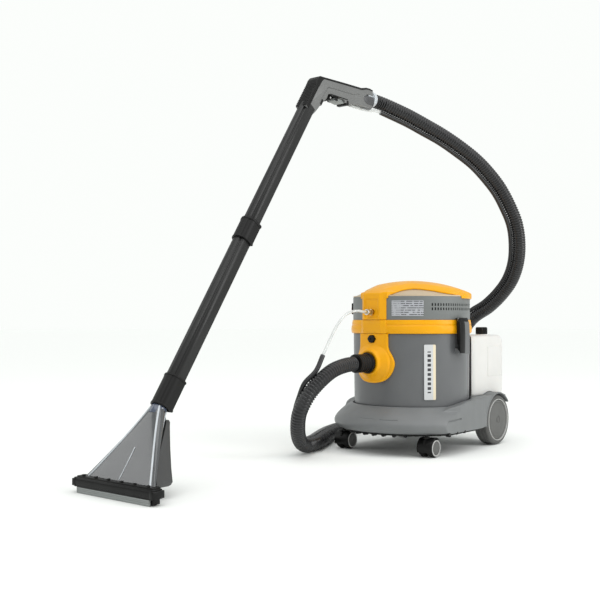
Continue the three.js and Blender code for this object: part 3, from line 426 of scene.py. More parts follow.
def mesh_of(points, faces):
    bm = bmesh.new()
    corners = [bm.verts.new(p) for p in points]
    for face in faces:
        bm.faces.new([corners[i] for i in face])
    bmesh.ops.remove_doubles(bm, verts=bm.verts, dist=1e-4)
    bmesh.ops.recalc_face_normals(bm, faces=bm.faces)
    return bm


def lathe(profile, segments=128, ring=False):
    """A body turned about Z; a ring's profile closes on itself, any other ends on the axis."""
    count = len(profile)
    points, faces = [], []
    for i in range(segments):
        angle = 2 * pi * i / segments
        points += [(r * cos(angle), r * sin(angle), z) for r, z in profile]
        following = (i + 1) % segments
        for k in range(count if ring else count - 1):
            upper = (k + 1) % count
            faces.append((i * count + k, following * count + k, following * count + upper, i * count
                          + upper))
    return mesh_of(points, faces)


def tube_ring(inner, outer, low, high, edge=1.0, segments=128):
    return lathe(soften([(inner, low), (outer, low), (outer, high), (inner, high)], edge, closed=True),
                 segments, True)


def disc(radius, low, high, edge=0.8, segments=48):
    return lathe(soften([(0, low), (radius, low), (radius, high), (0, high)], edge), segments)


def prism(outline, low, high, edge=0.0, steps=2):
    """An outline pushed up from low to high, with its two rims rounded."""
    bm = bmesh.new()
    face = bm.faces.new([bm.verts.new((x, y, low)) for x, y in outline])
    grown = bmesh.ops.extrude_face_region(bm, geom=[face])["geom"]
    bmesh.ops.translate(bm, verts=[g for g in grown if isinstance(g, bmesh.types.BMVert)],
                        vec=(0, 0, high - low))
    bmesh.ops.recalc_face_normals(bm, faces=bm.faces)
    if edge:
        rims = [e for e in bm.edges if abs(e.verts[0].co.z - e.verts[1].co.z) < 1e-6]
        bmesh.ops.bevel(bm, geom=rims, offset=edge, segments=steps, profile=0.5, affect="EDGES",
                        clamp_overlap=True)
    return bm


def block(low, high, edge=0.0, steps=2):
    bm = bmesh.new()
    bmesh.ops.create_cube(bm, size=1)
    size = Vector(high) - Vector(low)
    bmesh.ops.transform(bm, matrix=at(*((Vector(high) + Vector(low)) / 2)) @ Matrix.Diagonal((*size, 1)),
                        verts=bm.verts)
    if edge:
        bmesh.ops.bevel(bm, geom=bm.edges[:], offset=edge, segments=steps, profile=0.5, affect="EDGES",
                        clamp_overlap=True)
    return bm


def loft(rings):
    """A skin through rings of points, closed by a fan at each end."""
    count = len(rings[0])
    points = [p for ring in rings for p in ring]
    faces = []
    for level in range(len(rings) - 1):
        for i in range(count):
            j = (i + 1) % count
            a, b = level * count, (level + 1) * count
            faces.append((a + i, a + j, b + j, b + i))
    faces.append(tuple(reversed(range(count))))
    faces.append(tuple(range((len(rings) - 1) * count, len(rings) * count)))
    return mesh_of(points, faces)


def sweep(path, sections):
    """A closed skin along a path; sections holds one outline of (side, up) points per path point."""
    tangent = (path[1] - path[0]).normalized()
    side = tangent.orthogonal().normalized()
    rings = []
    for i, p in enumerate(path):
        ahead = path[min(i + 1, len(path) - 1)] - path[max(i - 1, 0)]
        following = ahead.normalized()
        side = tangent.rotation_difference(following) @ side
        side = (side - following * side.dot(following)).normalized()
        tangent = following
        up = tangent.cross(side)
        rings.append([p + side * u + up * v for u, v in sections[i]])
    return loft(rings)


def circle(radius, sides):
    return [(radius * cos(2 * pi * i / sides), radius * sin(2 * pi * i / sides)) for i in range(sides)]


def moved(bm, *matrices):
    """The mesh after the matrices, the last one first."""
    total = Matrix.Identity(4)
    for matrix in matrices:
        total = total @ matrix
    bmesh.ops.transform(bm, matrix=total, verts=bm.verts)
    if total.determinant() < 0:
        bmesh.ops.reverse_faces(bm, faces=bm.faces[:])
    return bm


def linked(name, bm):
    mesh = bpy.data.meshes.new(name)
    bm.to_mesh(mesh)
    bm.free()
    obj = bpy.data.objects.new(name, mesh)
    SCENE.collection.objects.link(obj)
    return obj


def evaluated(work, helpers=()):
    """The mesh of work with its modifiers applied; work and its helpers are removed."""
    graph = bpy.context.evaluated_depsgraph_get()
    mesh = bpy.data.meshes.new_from_object(work.evaluated_get(graph))
    bm = bmesh.new()
    bm.from_mesh(mesh)
    bpy.data.meshes.remove(mesh)
    for obj in (work, *helpers):
        data = obj.data
        bpy.data.objects.remove(obj)
        bpy.data.meshes.remove(data)
    return bm


def boolean(base, operation, others):
    work = linked("work", base)
    tools = [linked("tool", other) for other in others]
    for tool in tools:
        modifier = work.modifiers.new("step", "BOOLEAN")
        modifier.operation, modifier.object, modifier.solver = operation, tool, "MANIFOLD"
    return evaluated(work, tools)


def cut(base, *others):
    return boolean(base, "DIFFERENCE", others)


def joined(base, *others):
    return boolean(base, "UNION", others)


def common(base, *others):
    return boolean(base, "INTERSECT", others)


def melted(bm, voxel, rounds, keep=0.35):
    """One moulding with softly rounded corners: remeshed, smoothed and thinned out."""
    work = linked("work", bm)
    remesh = work.modifiers.new("remesh", "REMESH")
    remesh.mode, remesh.voxel_size = "VOXEL", voxel
    relax = work.modifiers.new("relax", "SMOOTH")
    relax.factor, relax.iterations = 0.5, rounds
    thin = work.modifiers.new("thin", "DECIMATE")
    thin.ratio = keep
    return evaluated(work)


def merged(*shapes):
    """Several separate shapes in one mesh."""
    bm = bmesh.new()
    for shape in shapes:
        mesh = bpy.data.meshes.new("part")
        shape.to_mesh(mesh)
        shape.free()
        bm.from_mesh(mesh)
        bpy.data.meshes.remove(mesh)
    return bm


def piece(name, bm, place, body, slot, *replaces, look=None, sharp=38):
    """A finished piece in metres, with crisp edges, its look (the slot's unless look names another) and its
    body; the nodes it replaces are hidden.
    """
    bmesh.ops.transform(bm, matrix=Matrix.Scale(MM, 4), verts=bm.verts)
    obj = linked(name, bm)
    obj.data.polygons.foreach_set("use_smooth", [True] * len(obj.data.polygons))
    obj.data.set_sharp_from_angle(angle=radians(sharp))
    obj.data.materials.append(LOOKS[look or slot])
    obj.matrix_world = place
    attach(obj, body)
    if replaces:
        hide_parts(*replaces)
    return obj


# ---------------------------------------------------------------- hose and solution tube

# The hose's centre line from the inlet cuff to the handle, and the side the tube is clipped to.
HOSE_ROUTE = [
    ((-28.5, -250.6, 255), (-0.3, 0.2, 1)),
    ((-32.6, -288, 252), (-0.3, 0.2, 1)),
    ((-37, -336, 241), (-0.3, 0, 1)),
    ((-43, -376, 220), (-0.5, 0, 1)),
    ((-53, -406, 193), (-0.8, -0.2, 1)),
    ((-67, -422, 162), (-1, 0.3, 0.6)),
    ((-86, -424, 124), (-1, 0.5, 0)),
    ((-108, -402, 78), (-1, 0.6, 0.2)),
    ((-134, -360, 44), (-1, 0.2, 0.6)),
    ((-156, -310, 25), (-1, 0, 0.7)),
    ((-170, -262, 21), (-1, 0, 0.5)),
    ((-188, -208, 21), (-1, 0, 0.5)),
    ((-214, -156, 21), (-1, 0, 0.5)),
    ((-250, -85, 21), (-1, 0, 0.5)),
    ((-284, -9, 21), (-1, 0, 0.5)),
    ((-317, 90, 21), (-1, 0, 0.5)),
    ((-334, 200, 21), (-1, 0, 0.5)),
    ((-331, 305, 21), (-1, 0.2, 0.6)),
    ((-299, 392, 36), (-0.8, 0.3, 0.8)),
    ((-240, 446, 100), (-0.5, 0.3, 0.7)),
    ((-168, 473, 212), (-0.7, 0, 0.6)),
    ((-108, 482, 312), (-0.8, -0.2, 0.5)),
    ((-52, 483, 382), (-0.7, -0.4, 0.5)),
    ((15, 473, 421), (-0.5, -0.6, 0.6)),
    ((68, 464, 464), (-0.6, -0.6, 0.4)),
    ((112, 448, 512), (-0.7, -0.6, 0.2)),
    ((144, 423, 570), (-0.7, -0.6, 0)),
    ((163, 390, 631), (-0.7, -0.6, -0.1)),
    ((166, 364, 687), (-0.6, -0.6, -0.3)),
    ((156, 339, 738), (-0.6, -0.6, -0.4)),
    ((141, 305, 791), (-0.5, -0.5, -0.6)),
    ((122, 263, 837), (-0.5, -0.4, -0.7)),
    ((99, 219, 877), (-0.4, -0.4, -0.8)),
    ((69, 169, 914), (-0.4, -0.3, -0.9)),
    ((39, 119, 945), (-0.3, -0.3, -1)),
    ((10, 70, 970), (-0.3, -0.2, -1)),
    ((-18, 22, 993), (-0.2, -0.1, -1)),
    ((-47, -30, 1013), (-0.1, 0, -1)),
    ((-63, -56, 1022.5), (0, 0, -1)),
    ((-72, -75, 1026.9), (0, 0, -1)),
    ((-75, -89, 1028), (0, 0, -1)),
    ((-75, -96, 1028), (0, 0, -1)),
]
CLIPPED_FROM, CLIPPED_TO = 4, 39
LINE_OFFSET = 27.5
LINE_HEAD = [
    (-23.8, -209.3, 399), (-27.5, -227, 402), (-36, -251, 400), (-44, -275, 389),
    (-50, -302, 362), (-53, -330, 325), (-55, -360, 281), (-57, -388, 240),
]
LINE_TAIL = [(-75, -95, 997), (-75, -128, 993.5), (-75, -165, 992), (-75, -206.4, 992)]
HOSE_R, HOSE_VALLEY, HOSE_PITCH = 20.5, 17.6, 8.0
LINE_R = 4.0
SHEATH_R = 6.6                    # black sleeve that ties the tube to the hose


def evenly(curve, step):
    """Points at an even spacing along a dense curve."""
    lengths = [0.0]
    for a, b in zip(curve, curve[1:]):
        lengths.append(lengths[-1] + (b - a).length)
    count = max(2, round(lengths[-1] / step))
    points, k = [], 0
    for i in range(count + 1):
        wanted = lengths[-1] * i / count
        while k < len(curve) - 2 and lengths[k + 1] < wanted:
            k += 1
        span = max(lengths[k + 1] - lengths[k], 1e-9)
        points.append(curve[k].lerp(curve[k + 1], min(1, (wanted - lengths[k]) / span)))
    return points


def clipped_line():
    """Where the tube's centre runs beside the hose."""
    route = [Vector(p) for p, _ in HOSE_ROUTE]
    points = []
    for i in range(CLIPPED_FROM, CLIPPED_TO + 1):
        tangent = (route[i + 1] - route[i - 1]).normalized()
        side = Vector(HOSE_ROUTE[i][1])
        side = (side - tangent * side.dot(tangent)).normalized()
        points.append(route[i] + side * LINE_OFFSET)
    return points


def make_cords(inlet_cuff, handle_cuff):
    curve = smooth_curve([p for p, _ in HOSE_ROUTE], 12)
    path = evenly(curve, HOSE_PITCH / 5)
    shape = (HOSE_VALLEY, HOSE_VALLEY + 0.5, HOSE_R - 0.25, HOSE_R, HOSE_R - 0.25)
    outlines = {r: circle(r, 28) for r in set(shape)}
    # The hose's material paints a highlight on its rib crests.
    hose = piece("corrugated_hose", sweep(path, [outlines[shape[i % 5]] for i in range(len(path))]), BASE,
                 "machine", "hose_black", "suction_hose", sharp=80)

    held = clipped_line()
    line_curve = smooth_curve([Vector(p) for p in LINE_HEAD] + held + [Vector(p) for p in LINE_TAIL], 12)
    line_path = evenly(line_curve, 8)
    line = piece("clear_line", sweep(line_path, [circle(LINE_R, 12)] * len(line_path)), BASE, "machine",
                 "clear_plastic", "solution_tube", look="clear_tube", sharp=80)
    covered = evenly(smooth_curve([Vector(p) for p in LINE_HEAD[6:]] + held[:-1], 12), 8)
    sheath = piece("line_sheath", sweep(covered, [circle(SHEATH_R, 16)] * len(covered)), BASE, "machine",
                   "hose_black", sharp=80)


def ribbed_sleeve(inner, outer, low, high, ribs, depth):
    """A cuff whose outside has rounded ribs."""
    profile = [(inner, low), (outer, low)]
    pitch = (high - low) / ribs
    for i in range(ribs):
        z = low + i * pitch
        profile += [(outer, z + 0.2 * pitch), (outer - depth, z + 0.5 * pitch), (outer, z + 0.8 * pitch)]
    return lathe(profile + [(outer, high), (inner, high)], 56, True)


def make_inlet_cuff():
    collar = tube_ring(17, 29, 196.6, 204.5, 1.6, 72)
    stub = tube_ring(17.2, 22.5, 175, 197.5, 0.6, 72)
    grip = ribbed_sleeve(17, 26, 203.5, 249.6, 5, 1.8)
    cuff = moved(joined(collar, stub, grip), at(0, 0, 255.4), TURN_X)
    return piece("inlet_cuff", cuff, DRUM, "machine", "black_plastic", "hose_inlet_cuff")


def make_handle_cuff():
    ring = lathe(soften([(15.6, 916), (17.8, 916), (17.8, 940.4), (23.4, 940.4), (24, 946), (22.6, 955.6),
                         (15.6, 955.6)], 1.2, closed=True), 72, True)
    cuff = moved(ring, HANDLE_BORE)
    return piece("handle_cuff", cuff, WAND, "machine", "clear_plastic", "hose_handle_cuff", look="bead")


# ---------------------------------------------------------------- base and wheels

def base_body():
    side = smooth_curve([(207, 62), (221, 67), (228, 78), (227, 89), (219, 101), (207, 113), (193, 124),
                         (178, 134)], 5)
    flare = lathe([(0, 62)] + [(p.x, p.y) for p in side] + [(0, 135)], 192)
    front = common(flare, block((-190, -600, 0), (190, 110, 600)))
    wing_side = [(-140, 70), (0, 74), (100, 82), (100, 150), (-10, 145), (-80, 132), (-125, 116),
                 (-155, 103)]
    wings = common(moved(prism(wing_side, -190, 190), SIDEWAYS),
                   joined(disc(196, 0, 400, 0, 192), block((-300, -20, 0), (300, 110, 400))))
    carriage = block((-176, 90, 82), (176, 262, 150))
    deck = block((-122, 90, 138), (122, 318, 147.7))
    fenders = common(moved(disc(83.5, -178, 178, 2.5, 128), REAR_AXLE),
                     block((-600, 90, 60), (600, 278, 600)))
    return joined(front, wings, carriage, deck, fenders)


def groove(radius, height, from_deg, to_deg, depth=2.4):
    """A shallow channel along an arc round the drum's axis, counted from the front."""
    steps = 16
    path = []
    for i in range(steps + 1):
        angle = radians(from_deg + (to_deg - from_deg) * i / steps)
        path.append(Vector((radius * sin(angle), -radius * cos(angle), height)))
    return sweep(path, [circle(depth, 10)] * len(path))


def make_base():
    wheel_room = [moved(disc(79, low, low + 476, 0, 128), REAR_AXLE) for low in (124, -600)]
    hollow = common(lathe([(0, -5), (208, -5), (208, 76), (196, 88), (184, 96), (0, 96)], 128),
                    block((-184, -600, -10), (184, 96, 600)))
    bosses = [moved(disc(16, 62, 110, 0), at(x, CASTER_Y, 0)) for x in (-CASTER_X, CASTER_X)]
    body = cut(base_body(), *wheel_room, block((-122.4, 160, 147.7), (122.4, 600, 600)),
               disc(172.3, 104, 600, 0, 192), cut(hollow, *bosses), block((-112, 88, -5), (112, 600, 138)))
    body = cut(melted(body, 1.6, 5), groove(219.6, 102.5, -9, 4), groove(219.6, 101.5, 8, 22),
               sweep([Vector((190.2, -118, 98)), Vector((190.2, -42, 100))], [circle(2.4, 10)] * 2))
    piece("base_moulding", body, BASE, "machine", "base_grey", "base_chassis", sharp=60)

    lugs = [moved(disc(6, 188, 203, 1.2, 24), about_z(-63 + 9 * i), at(0, 0, 58.5), TURN_X)
            for i in range(15)]
    tray = merged(tube_ring(90, 204, 57.5, 61.7, 1.2, 128), *lugs)
    clear = [moved(disc(50, 0, 57, 0), at(x, CASTER_Y, 0)) for x in (-CASTER_X, CASTER_X)]
    side_lugs = [block((hand * 186 - 4, y - 5, 58), (hand * 186 + 4, y + 5, 67), 1.2) for hand in (1, -1)
                 for y in (-107, -63, -20)]
    tray = merged(cut(common(tray, block((-183, -600, 0), (183, 90, 600))), *clear), *side_lugs)
    piece("tray", tray, BASE, "machine", "black_plastic", "under_tray")


def facing(hand):
    """A wheel's outer face points left where hand is above zero, else right."""
    return Matrix.Identity(4) if hand > 0 else about_z(180)


def make_rear_wheels():
    for side, hand in (("left", 1), ("right", -1)):
        place = BASE @ away(hand * 152, AXLE_Y, AXLE_Z) @ facing(hand) @ TURN_Y
        body = f"{side}_rear_wheel"
        tread = [(62, 19), (62, -19), (65, -23, 2), (69, -23, 3), (74.6, -17.5, 4)]
        for z in (-10, 0, 10):
            tread += [(75, z - 2, 0.4), (73.2, z - 1, 0.4), (73.2, z + 1, 0.4), (75, z + 2, 0.4)]
        tread += [(74.6, 17.5, 4), (70, 22.4, 2), (69, 21.8, 0.6), (67.5, 22.6, 1), (65, 22.9, 2)]
        piece(f"{side}_tyre", lathe(soften(tread, 1, closed=True), 144, True), place, body, "tyre_grey",
              f"{side}_wheel_tyre")
        piece(f"{side}_rim_line", tube_ring(60.2, 62.8, 17, 23.4, 1.1, 144), place, body, "lip_grey",
              look="rim_grey")
        face = [(7.4, -22), (60, -19.5, 2), (60, 18, 1), (57.5, 21.6, 1.5), (54.5, 21.6, 1),
                (53.5, 20.4, 0.6), (52.2, 20.4, 0.6), (51.2, 21.4, 1), (12, 21.9, 2), (10.5, 20.2, 1),
                (7.4, 20.2)]
        hub = lathe(soften(face, 0.6, closed=True), 144, True)
        piece(f"{side}_hub", hub, place, body, "hub_grey", f"{side}_wheel_hub")
        cap = lathe(soften([(0, 19.4), (8.6, 19.4, 0.5), (8.6, 20.6, 0.8), (5, 21.8, 2), (0, 22.2)], 0.5),
                    48)
        piece(f"{side}_axle_cap", cap, place, body, "hub_grey")


def caster_hood():
    """Hood over both wheels, with the web, stub axle and swivel pin."""
    centre = 25.5
    arc = [(28.5 * cos(radians(a)), centre + 28.5 * sin(radians(a))) for a in range(-25, 126, 5)]
    back = [(26.4 * cos(radians(a)), centre + 26.4 * sin(radians(a))) for a in range(125, -26, -5)]
    shell = moved(prism([(13 - y, z) for y, z in arc + back], -23, 23, 0.8), SIDEWAYS)
    web = moved(prism(soften([(-14, 38), (-12, 49), (13, 52.5), (19, 40), (20, 17.5), (6, 17.5)], 2,
                             closed=True), -2.6, 2.6, 0.5), SIDEWAYS)
    axle = moved(disc(2.9, -20.4, 20.4, 0.4, 24), at(0, 13, centre), TURN_Y)
    return joined(shell, web, axle, disc(5, 50, 80, 0.6, 32), disc(9, 51, 56.4, 0.8, 40))


def make_casters():
    for side, hand in (("left", 1), ("right", -1)):
        place = BASE @ away(hand * CASTER_X, CASTER_Y, 0)
        piece(f"{side}_caster_hood", caster_hood(), place, f"{side}_caster", "black_plastic",
              f"{side}_caster_fork")
        for which, sign in (("outer", hand), ("inner", -hand)):
            wheel = place @ away(sign * 13.5, 13, 25.5) @ facing(sign) @ TURN_Y
            body, node = f"{side}_caster_{which}", f"{side}_caster_{which}_wheel"
            tyre = lathe(soften([(3.4, -9.5), (22, -9.5, 1), (25.5, -6.5, 3), (25.5, 5, 3), (22.6, 9.2, 2),
                                 (3.4, 9.2)], 0.5, closed=True), 72, True)
            piece(f"{node}_tread", tyre, wheel, body, "tyre_grey", node, look="rubber")
            piece(f"{node}_ring", tube_ring(18.6, 22.4, 6, 10.0, 1.2, 72), wheel, body, "lip_grey",
                  look="rim_grey")
            cap = lathe(soften([(0, 7.5), (18, 7.5, 0.4), (18, 9.3, 0.8), (14, 10.4, 3), (4, 10.8, 1),
                                (3, 10.2, 0.5), (0, 10.2)], 0.5), 64)
            piece(f"{node}_cap", cap, wheel, body, "hub_grey")


# ---------------------------------------------------------------- drum, inlet and band

def label(inner, outer, half, low, high, edge, turn):
    """A thin curved strip round the drum's axis, cut to a rounded rectangle."""
    outline = soften([(-half, low), (half, low), (half, high), (-half, high)], 3, closed=True)
    strip = common(tube_ring(inner, outer, low, high, edge, 360), moved(prism(outline, 100, 200), TURN_X))
    return moved(strip, about_z(turn))


def make_drum():
    wall = lathe(soften([(0, 104.3), (165, 104.3, 4), (168, 110, 2), (170.7, 334, 1), (170.7, 337.7, 0.8),
                         (167.7, 337.7, 0.8), (164, 107.5, 3), (0, 107.5)], 1), 256)
    drum = cut(wall, moved(disc(24, 150, 190, 0), INLET))
    ears = []
    for turn in (0, 180):
        for y in (-17, 12.5):
            ear = prism(soften([(168, 281.5), (181, 281.5, 6.4), (187.5, 288, 6.4), (181, 294.5, 6.4),
                                (168, 298)], 1, closed=True), 0, 4.5, 0.8)
            ears.append(moved(ear, about_z(turn), at(0, y + 4.5, 0), TURN_X))
    piece("drum_shell", joined(drum, *ears), DRUM, "machine", "drum_grey", "recovery_drum")

    strip = label(170.9, 172.4, 17, 154, 308, 0.5, BADGE_TURN)
    piece("badge", strip, DRUM, "machine", "label_cream", "drum_badge", look="badge")


def inlet_outline():
    half = [(50, 345), (50, 303), (53, 291), (61, 277), (67, 261), (67, 247), (61, 229), (49, 213),
            (32, 203), (12, 199)]
    curve = [(p.x, p.y) for p in smooth_curve(half[1:], 5)]
    right = [half[0]] + curve
    return right + [(-x, z) for x, z in reversed(right)]


def knob_outline(r):
    """A flattened hexagon, x and z, round the release knob's centre."""
    corners = [(r * cos(radians(60 * i)), 323 + 0.83 * r * sin(radians(60 * i))) for i in range(6)]
    return soften(corners, 1.4, closed=True)


def make_inlet():
    shield = common(moved(prism(inlet_outline(), 100, 200), TURN_X), disc(179, 0, 337.7, 0, 256))
    mouth = lathe(soften([(0, 150), (60, 150), (58, 174, 10), (40, 188, 8), (36, 196, 2.5), (0, 196)], 2),
                  128)
    fitting = cut(joined(shield, moved(mouth, INLET)),
                  disc(171.3, 0, 600, 0, 256), moved(disc(30.5, 192, 230, 0, 96), INLET),
                  moved(prism(knob_outline(14.6), 150, 200), TURN_X),
                  moved(disc(24, 100, 230, 0, 96), INLET))
    piece("inlet_shield", melted(fitting, 1.1, 4), DRUM, "machine", "yellow", "inlet_fitting", sharp=60)

    knob = cut(prism(knob_outline(13.2), 174.6, 183.5, 1.0, 3),
               moved(disc(3.6, 181.5, 190, 0.2, 32), at(0, 323, 0)))
    piece("release_knob", moved(knob, TURN_X), DRUM, "release_button", "black_plastic",
          "inlet_release_button")


def make_band():
    profile = [(171.6, 338), (174.6, 338, 1), (177, 341.5, 3), (177.6, 350, 8), (176.9, 359, 4),
               (175.2, 361.5, 1), (174.4, 362.6, 0.8), (175.6, 364.6, 1), (175.2, 368, 2),
               (173.6, 377, 1), (171.6, 377)]
    band = lathe(soften(profile, 1, closed=True), 256, True)
    pad_outline = [(-46, -160), (-46, -172), (-32, -178.8), (32, -178.8), (46, -172), (46, -160)]
    pad = cut(prism(soften(pad_outline, 3, closed=True), 338.4, 376.6, 1.2), disc(174, 0, 600, 0, 256))
    piece("band", joined(band, pad), DRUM, "machine", "yellow", "rim_band")


def make_latches():
    for side, turn in (("left", 0), ("right", 180)):
        place, body = DRUM @ about_z(turn), f"{side}_latch"
        outer = [(188.6, 281, 1), (192.4, 281, 1.5), (193, 340, 30), (191.6, 368, 20), (185, 383.5, 2),
                 (181.4, 382, 1.5), (187.6, 366, 20), (188.9, 340, 30)]
        cover = moved(prism(soften(outer, 1, 5, closed=True), -23, 23, 1.3, 3), TURN_X)
        piece(f"{side}_latch_cover", cover, place, body, "head_grey", f"{side}_latch", look="latch_grey")
        cheek = soften([(180.4, 318, 3), (183, 300, 3), (184, 292, 2), (188.9, 290, 1), (188.9, 366, 6),
                        (184, 377, 3), (179.8, 372, 3)], 2, closed=True)
        plates = [moved(prism(cheek, y, y + 2.6, 0.6), TURN_X) for y in (-21.8, 19.2)]
        rungs = [moved(disc(2.4, -20, 20, 0.3, 24), at(x, 0, z), TURN_X)
                 for x, z in ((184, 306), (183.5, 368))]
        pivot = at(181, 0, 288) @ TURN_X
        barrel = moved(disc(6, -11.5, 11.5, 0.8, 40), pivot)
        pin = moved(disc(2.9, -16.8, 16.8, 0.4, 32), pivot)
        arm = block((181.5, -11, 284), (189.4, 11, 300), 1.2)
        hook = soften([(173.2, 377.8, 0.8), (186, 379.4, 3), (190.4, 372, 2), (191.2, 374, 1),
                       (187.6, 383.4, 3), (173.2, 381.4, 0.8)], 1, closed=True)
        hook = moved(prism(hook, -19, 19, 0.7), TURN_X)
        strap = [(x + 0.7, z, r) for x, z, r in outer[1:5]]
        strap += [(186.5, 366, 20), (188.9, 330, 30), (188.9, 290, 1)]
        strap = moved(prism(soften(strap, 1, 5, closed=True), 0, 23.5, 0.8), TURN_X)
        inner = joined(barrel, pin, arm, hook, strap, *plates, *rungs)
        piece(f"{side}_latch_link", inner, place, body, "black_plastic")


# ---------------------------------------------------------------- motor head

def cap_height(apex, sphere, r):
    return apex - sphere + math.sqrt(max(0, sphere * sphere - r * r))


def dome_height(r):
    return cap_height(485, 381, min(r, 171.5))


def cover_height(r):
    return cap_height(493, 430, r)


COVER_EDGE = [(46, -182), (50, -168), (57, -150), (66, -125), (85, -97), (121, -70), (156, -36),
              (176, 22), (186, 60)]


def lowered_shoulders(bm):
    """Lets the cover fall from a crease, a hand's breadth inside its edge, down to the dome."""
    edge = smooth_curve(COVER_EDGE, 8)
    slope, drop, front, rim = 30.0, 0.72, -168, 176
    for vertex in bm.verts:
        x, y, z = vertex.co
        r = math.hypot(x, y)
        above = z - (dome_height(r) + 2.2)
        if above <= 0 or y < front or r > rim:
            continue
        gap = min((Vector((abs(x), y)) - p).length for p in edge)
        share = max(0.0, 1 - gap / slope) * min(1, (y - front) / 25)
        vertex.co.z = z - above * drop * share


def thinned(bm, keep):
    work = linked("work", bm)
    thin = work.modifiers.new("thin", "DECIMATE")
    thin.ratio = keep
    return evaluated(work)


def make_cover():
    radii = [6 * i for i in range(29)]
    under = [(r, dome_height(r) + 0.6) for r in radii]
    over = [(r, cover_height(r)) for r in radii]
    shell = lathe(under + [(172.6, 444.6), (172.6, 438), (177, 438), (177, 452), (174.5, 455.4)]
                  + over[::-1], 256)
    edge = [(p.x, p.y) for p in smooth_curve(COVER_EDGE, 5)] + [(200, 200)]
    plan = prism(edge + [(-x, y) for x, y in reversed(edge)], 300, 520)
    panel = prism([(-30, -180), (30, -180), (46, -167), (46, -120), (-46, -120), (-46, -167)], 377.4, 500)
    limit = lathe([(0, 300), (190, 300), (190, 448), (179, 453.6), (172, 457)] + over[::-1], 256)
    body = lathe(under + [(172.6, 444.4), (172.6, 300), (0, 300)], 256)
    panel = cut(common(panel, limit), body)
    recess = block((-25, -200, 384), (24, -177.2, 437))
    coupler_hole = moved(disc(7.3, 150, 200, 0, 64), COUPLER)
    cover = melted(cut(joined(common(shell, plan), panel), recess, coupler_hole), 1.35, 3, 1.0)
    lowered_shoulders(cover)
    piece("cover", thinned(cover, 0.4), DRUM, "machine", "yellow", "handle_cover", sharp=50)


VENT_ROWS, VENT_COUNT, VENT_FIRST, VENT_PITCH = (420, 408), 24, 58.5, 2.95
VENTS_STOP = -116       # on the right they leave room for the switches


def make_head():
    wall = lathe(soften([(62, 341.2), (171.2, 341.2), (171.2, 377.4, 0.4), (172, 377.6, 0.3),
                         (172, 443.7, 2.5), (168.5, 443.7), (168.5, 345.2), (62, 345.2)], 0.8,
                        closed=True), 256, True)
    slot = soften([(-2.1, -4), (2.1, -4), (2.1, 4), (-2.1, 4)], 1.5, closed=True)
    vents = []
    for z in VENT_ROWS:
        for i in range(VENT_COUNT):
            for hand in (1, -1):
                angle = hand * (VENT_FIRST + VENT_PITCH * i)
                if hand < 0 and angle > VENTS_STOP:
                    continue
                vents.append(moved(prism(slot, 150, 190), about_z(angle), at(0, 0, z), TURN_X))
    piece("head_wall", cut(wall, *vents), DRUM, "machine", "head_grey", "head_housing")

    radii = [8 * i for i in range(21)] + [166]
    profile = [(r, dome_height(r) - 3) for r in radii] + [(171.4, 444), (171.4, 447.5)]
    profile += [(r, dome_height(r)) for r in reversed([8 * i for i in range(21)] + [168])]
    piece("dome", lathe(profile, 256), DRUM, "machine", "dome_grey", "head_dome", sharp=60)

    plate = label(172.4, 173.4, 44.7, 388, 432, 0.3, PLATE_TURN)
    piece("rating_plate", plate, DRUM, "machine", "label_silver", "data_plate", look="plate")


def make_coupler():
    hexagon = [(10 * cos(radians(60 * i)), 10 * sin(radians(60 * i))) for i in range(6)]
    nut = prism(soften(hexagon, 1.2, closed=True), 180.4, 185.4, 0.8)
    stem = lathe(soften([(0, 176), (7, 176), (7, 181), (5, 184), (5, 203), (2.9, 204), (3.5, 206),
                         (2.7, 208), (3.3, 209), (2.6, 211), (0, 211)], 0.4), 48)
    fixed = moved(joined(nut, stem), COUPLER)
    piece("coupler_nut", fixed, DRUM, "machine", "brass", "coupler_body")
    knurl = [(8.6 - 0.35 * (i % 2), 2 * pi * i / 60) for i in range(60)]
    sleeve = cut(prism([(r * cos(a), r * sin(a)) for r, a in knurl], 190.5, 202, 0.7),
                 disc(5.2, 180, 210, 0, 48))
    sleeve = moved(sleeve, COUPLER)
    piece("coupler_sleeve", sleeve, DRUM, "coupler_collar", "brass", "coupler_collar", look="steel")


def make_switches():
    bezel = cut(block((-30, -181, 394), (30, -150, 428), 2.4, 3), disc(172.5, 0, 600, 0, 256),
                *(block((x - 9, -200, 398.5), (x + 9, -174, 423.5), 1) for x in (-13, 13)))
    piece("switch_panel", moved(bezel, about_z(SWITCH_TURN)), DRUM, "machine", "black_plastic",
          "switch_bezel")
    for name, x in (("vacuum_switch", -13), ("pump_switch", 13)):
        side = soften([(176, 400, 1), (183.6, 400.5, 1), (185.3, 411, 12), (183.6, 421.5, 1),
                       (176, 422, 1)], 1, 4, closed=True)
        rocker = moved(prism([(-r, z) for r, z in side], x - 8, x + 8, 0.9, 3), about_z(SWITCH_TURN),
                       SIDEWAYS)
        piece(f"{name}_rocker", rocker, DRUM, name, "switch_red", name)
    gland = lathe(soften([(4, 172.5), (11, 172.5, 1), (11, 178, 1.5), (8.6, 179.5, 1), (7.6, 192, 2),
                          (4, 192)], 0.6, closed=True), 48, True)
    piece("mains_gland", moved(gland, about_z(GLAND_TURN), at(0, 0, 400), TURN_X), DRUM, "machine",
          "black_plastic", "cable_gland")


# ---------------------------------------------------------------- solution tank

def rounded_ring(half, front, rear, z, corner, per_corner=9):
    ring = []
    for cx, cy, start in ((half - corner, front + corner, -90), (half - corner, rear - corner, 0),
                          (corner - half, rear - corner, 90), (corner - half, front + corner, 180)):
        for i in range(per_corner + 1):
            angle = radians(start + 90 * i / per_corner)
            ring.append(Vector((cx + corner * cos(angle), cy + corner * sin(angle), z)))
    return ring


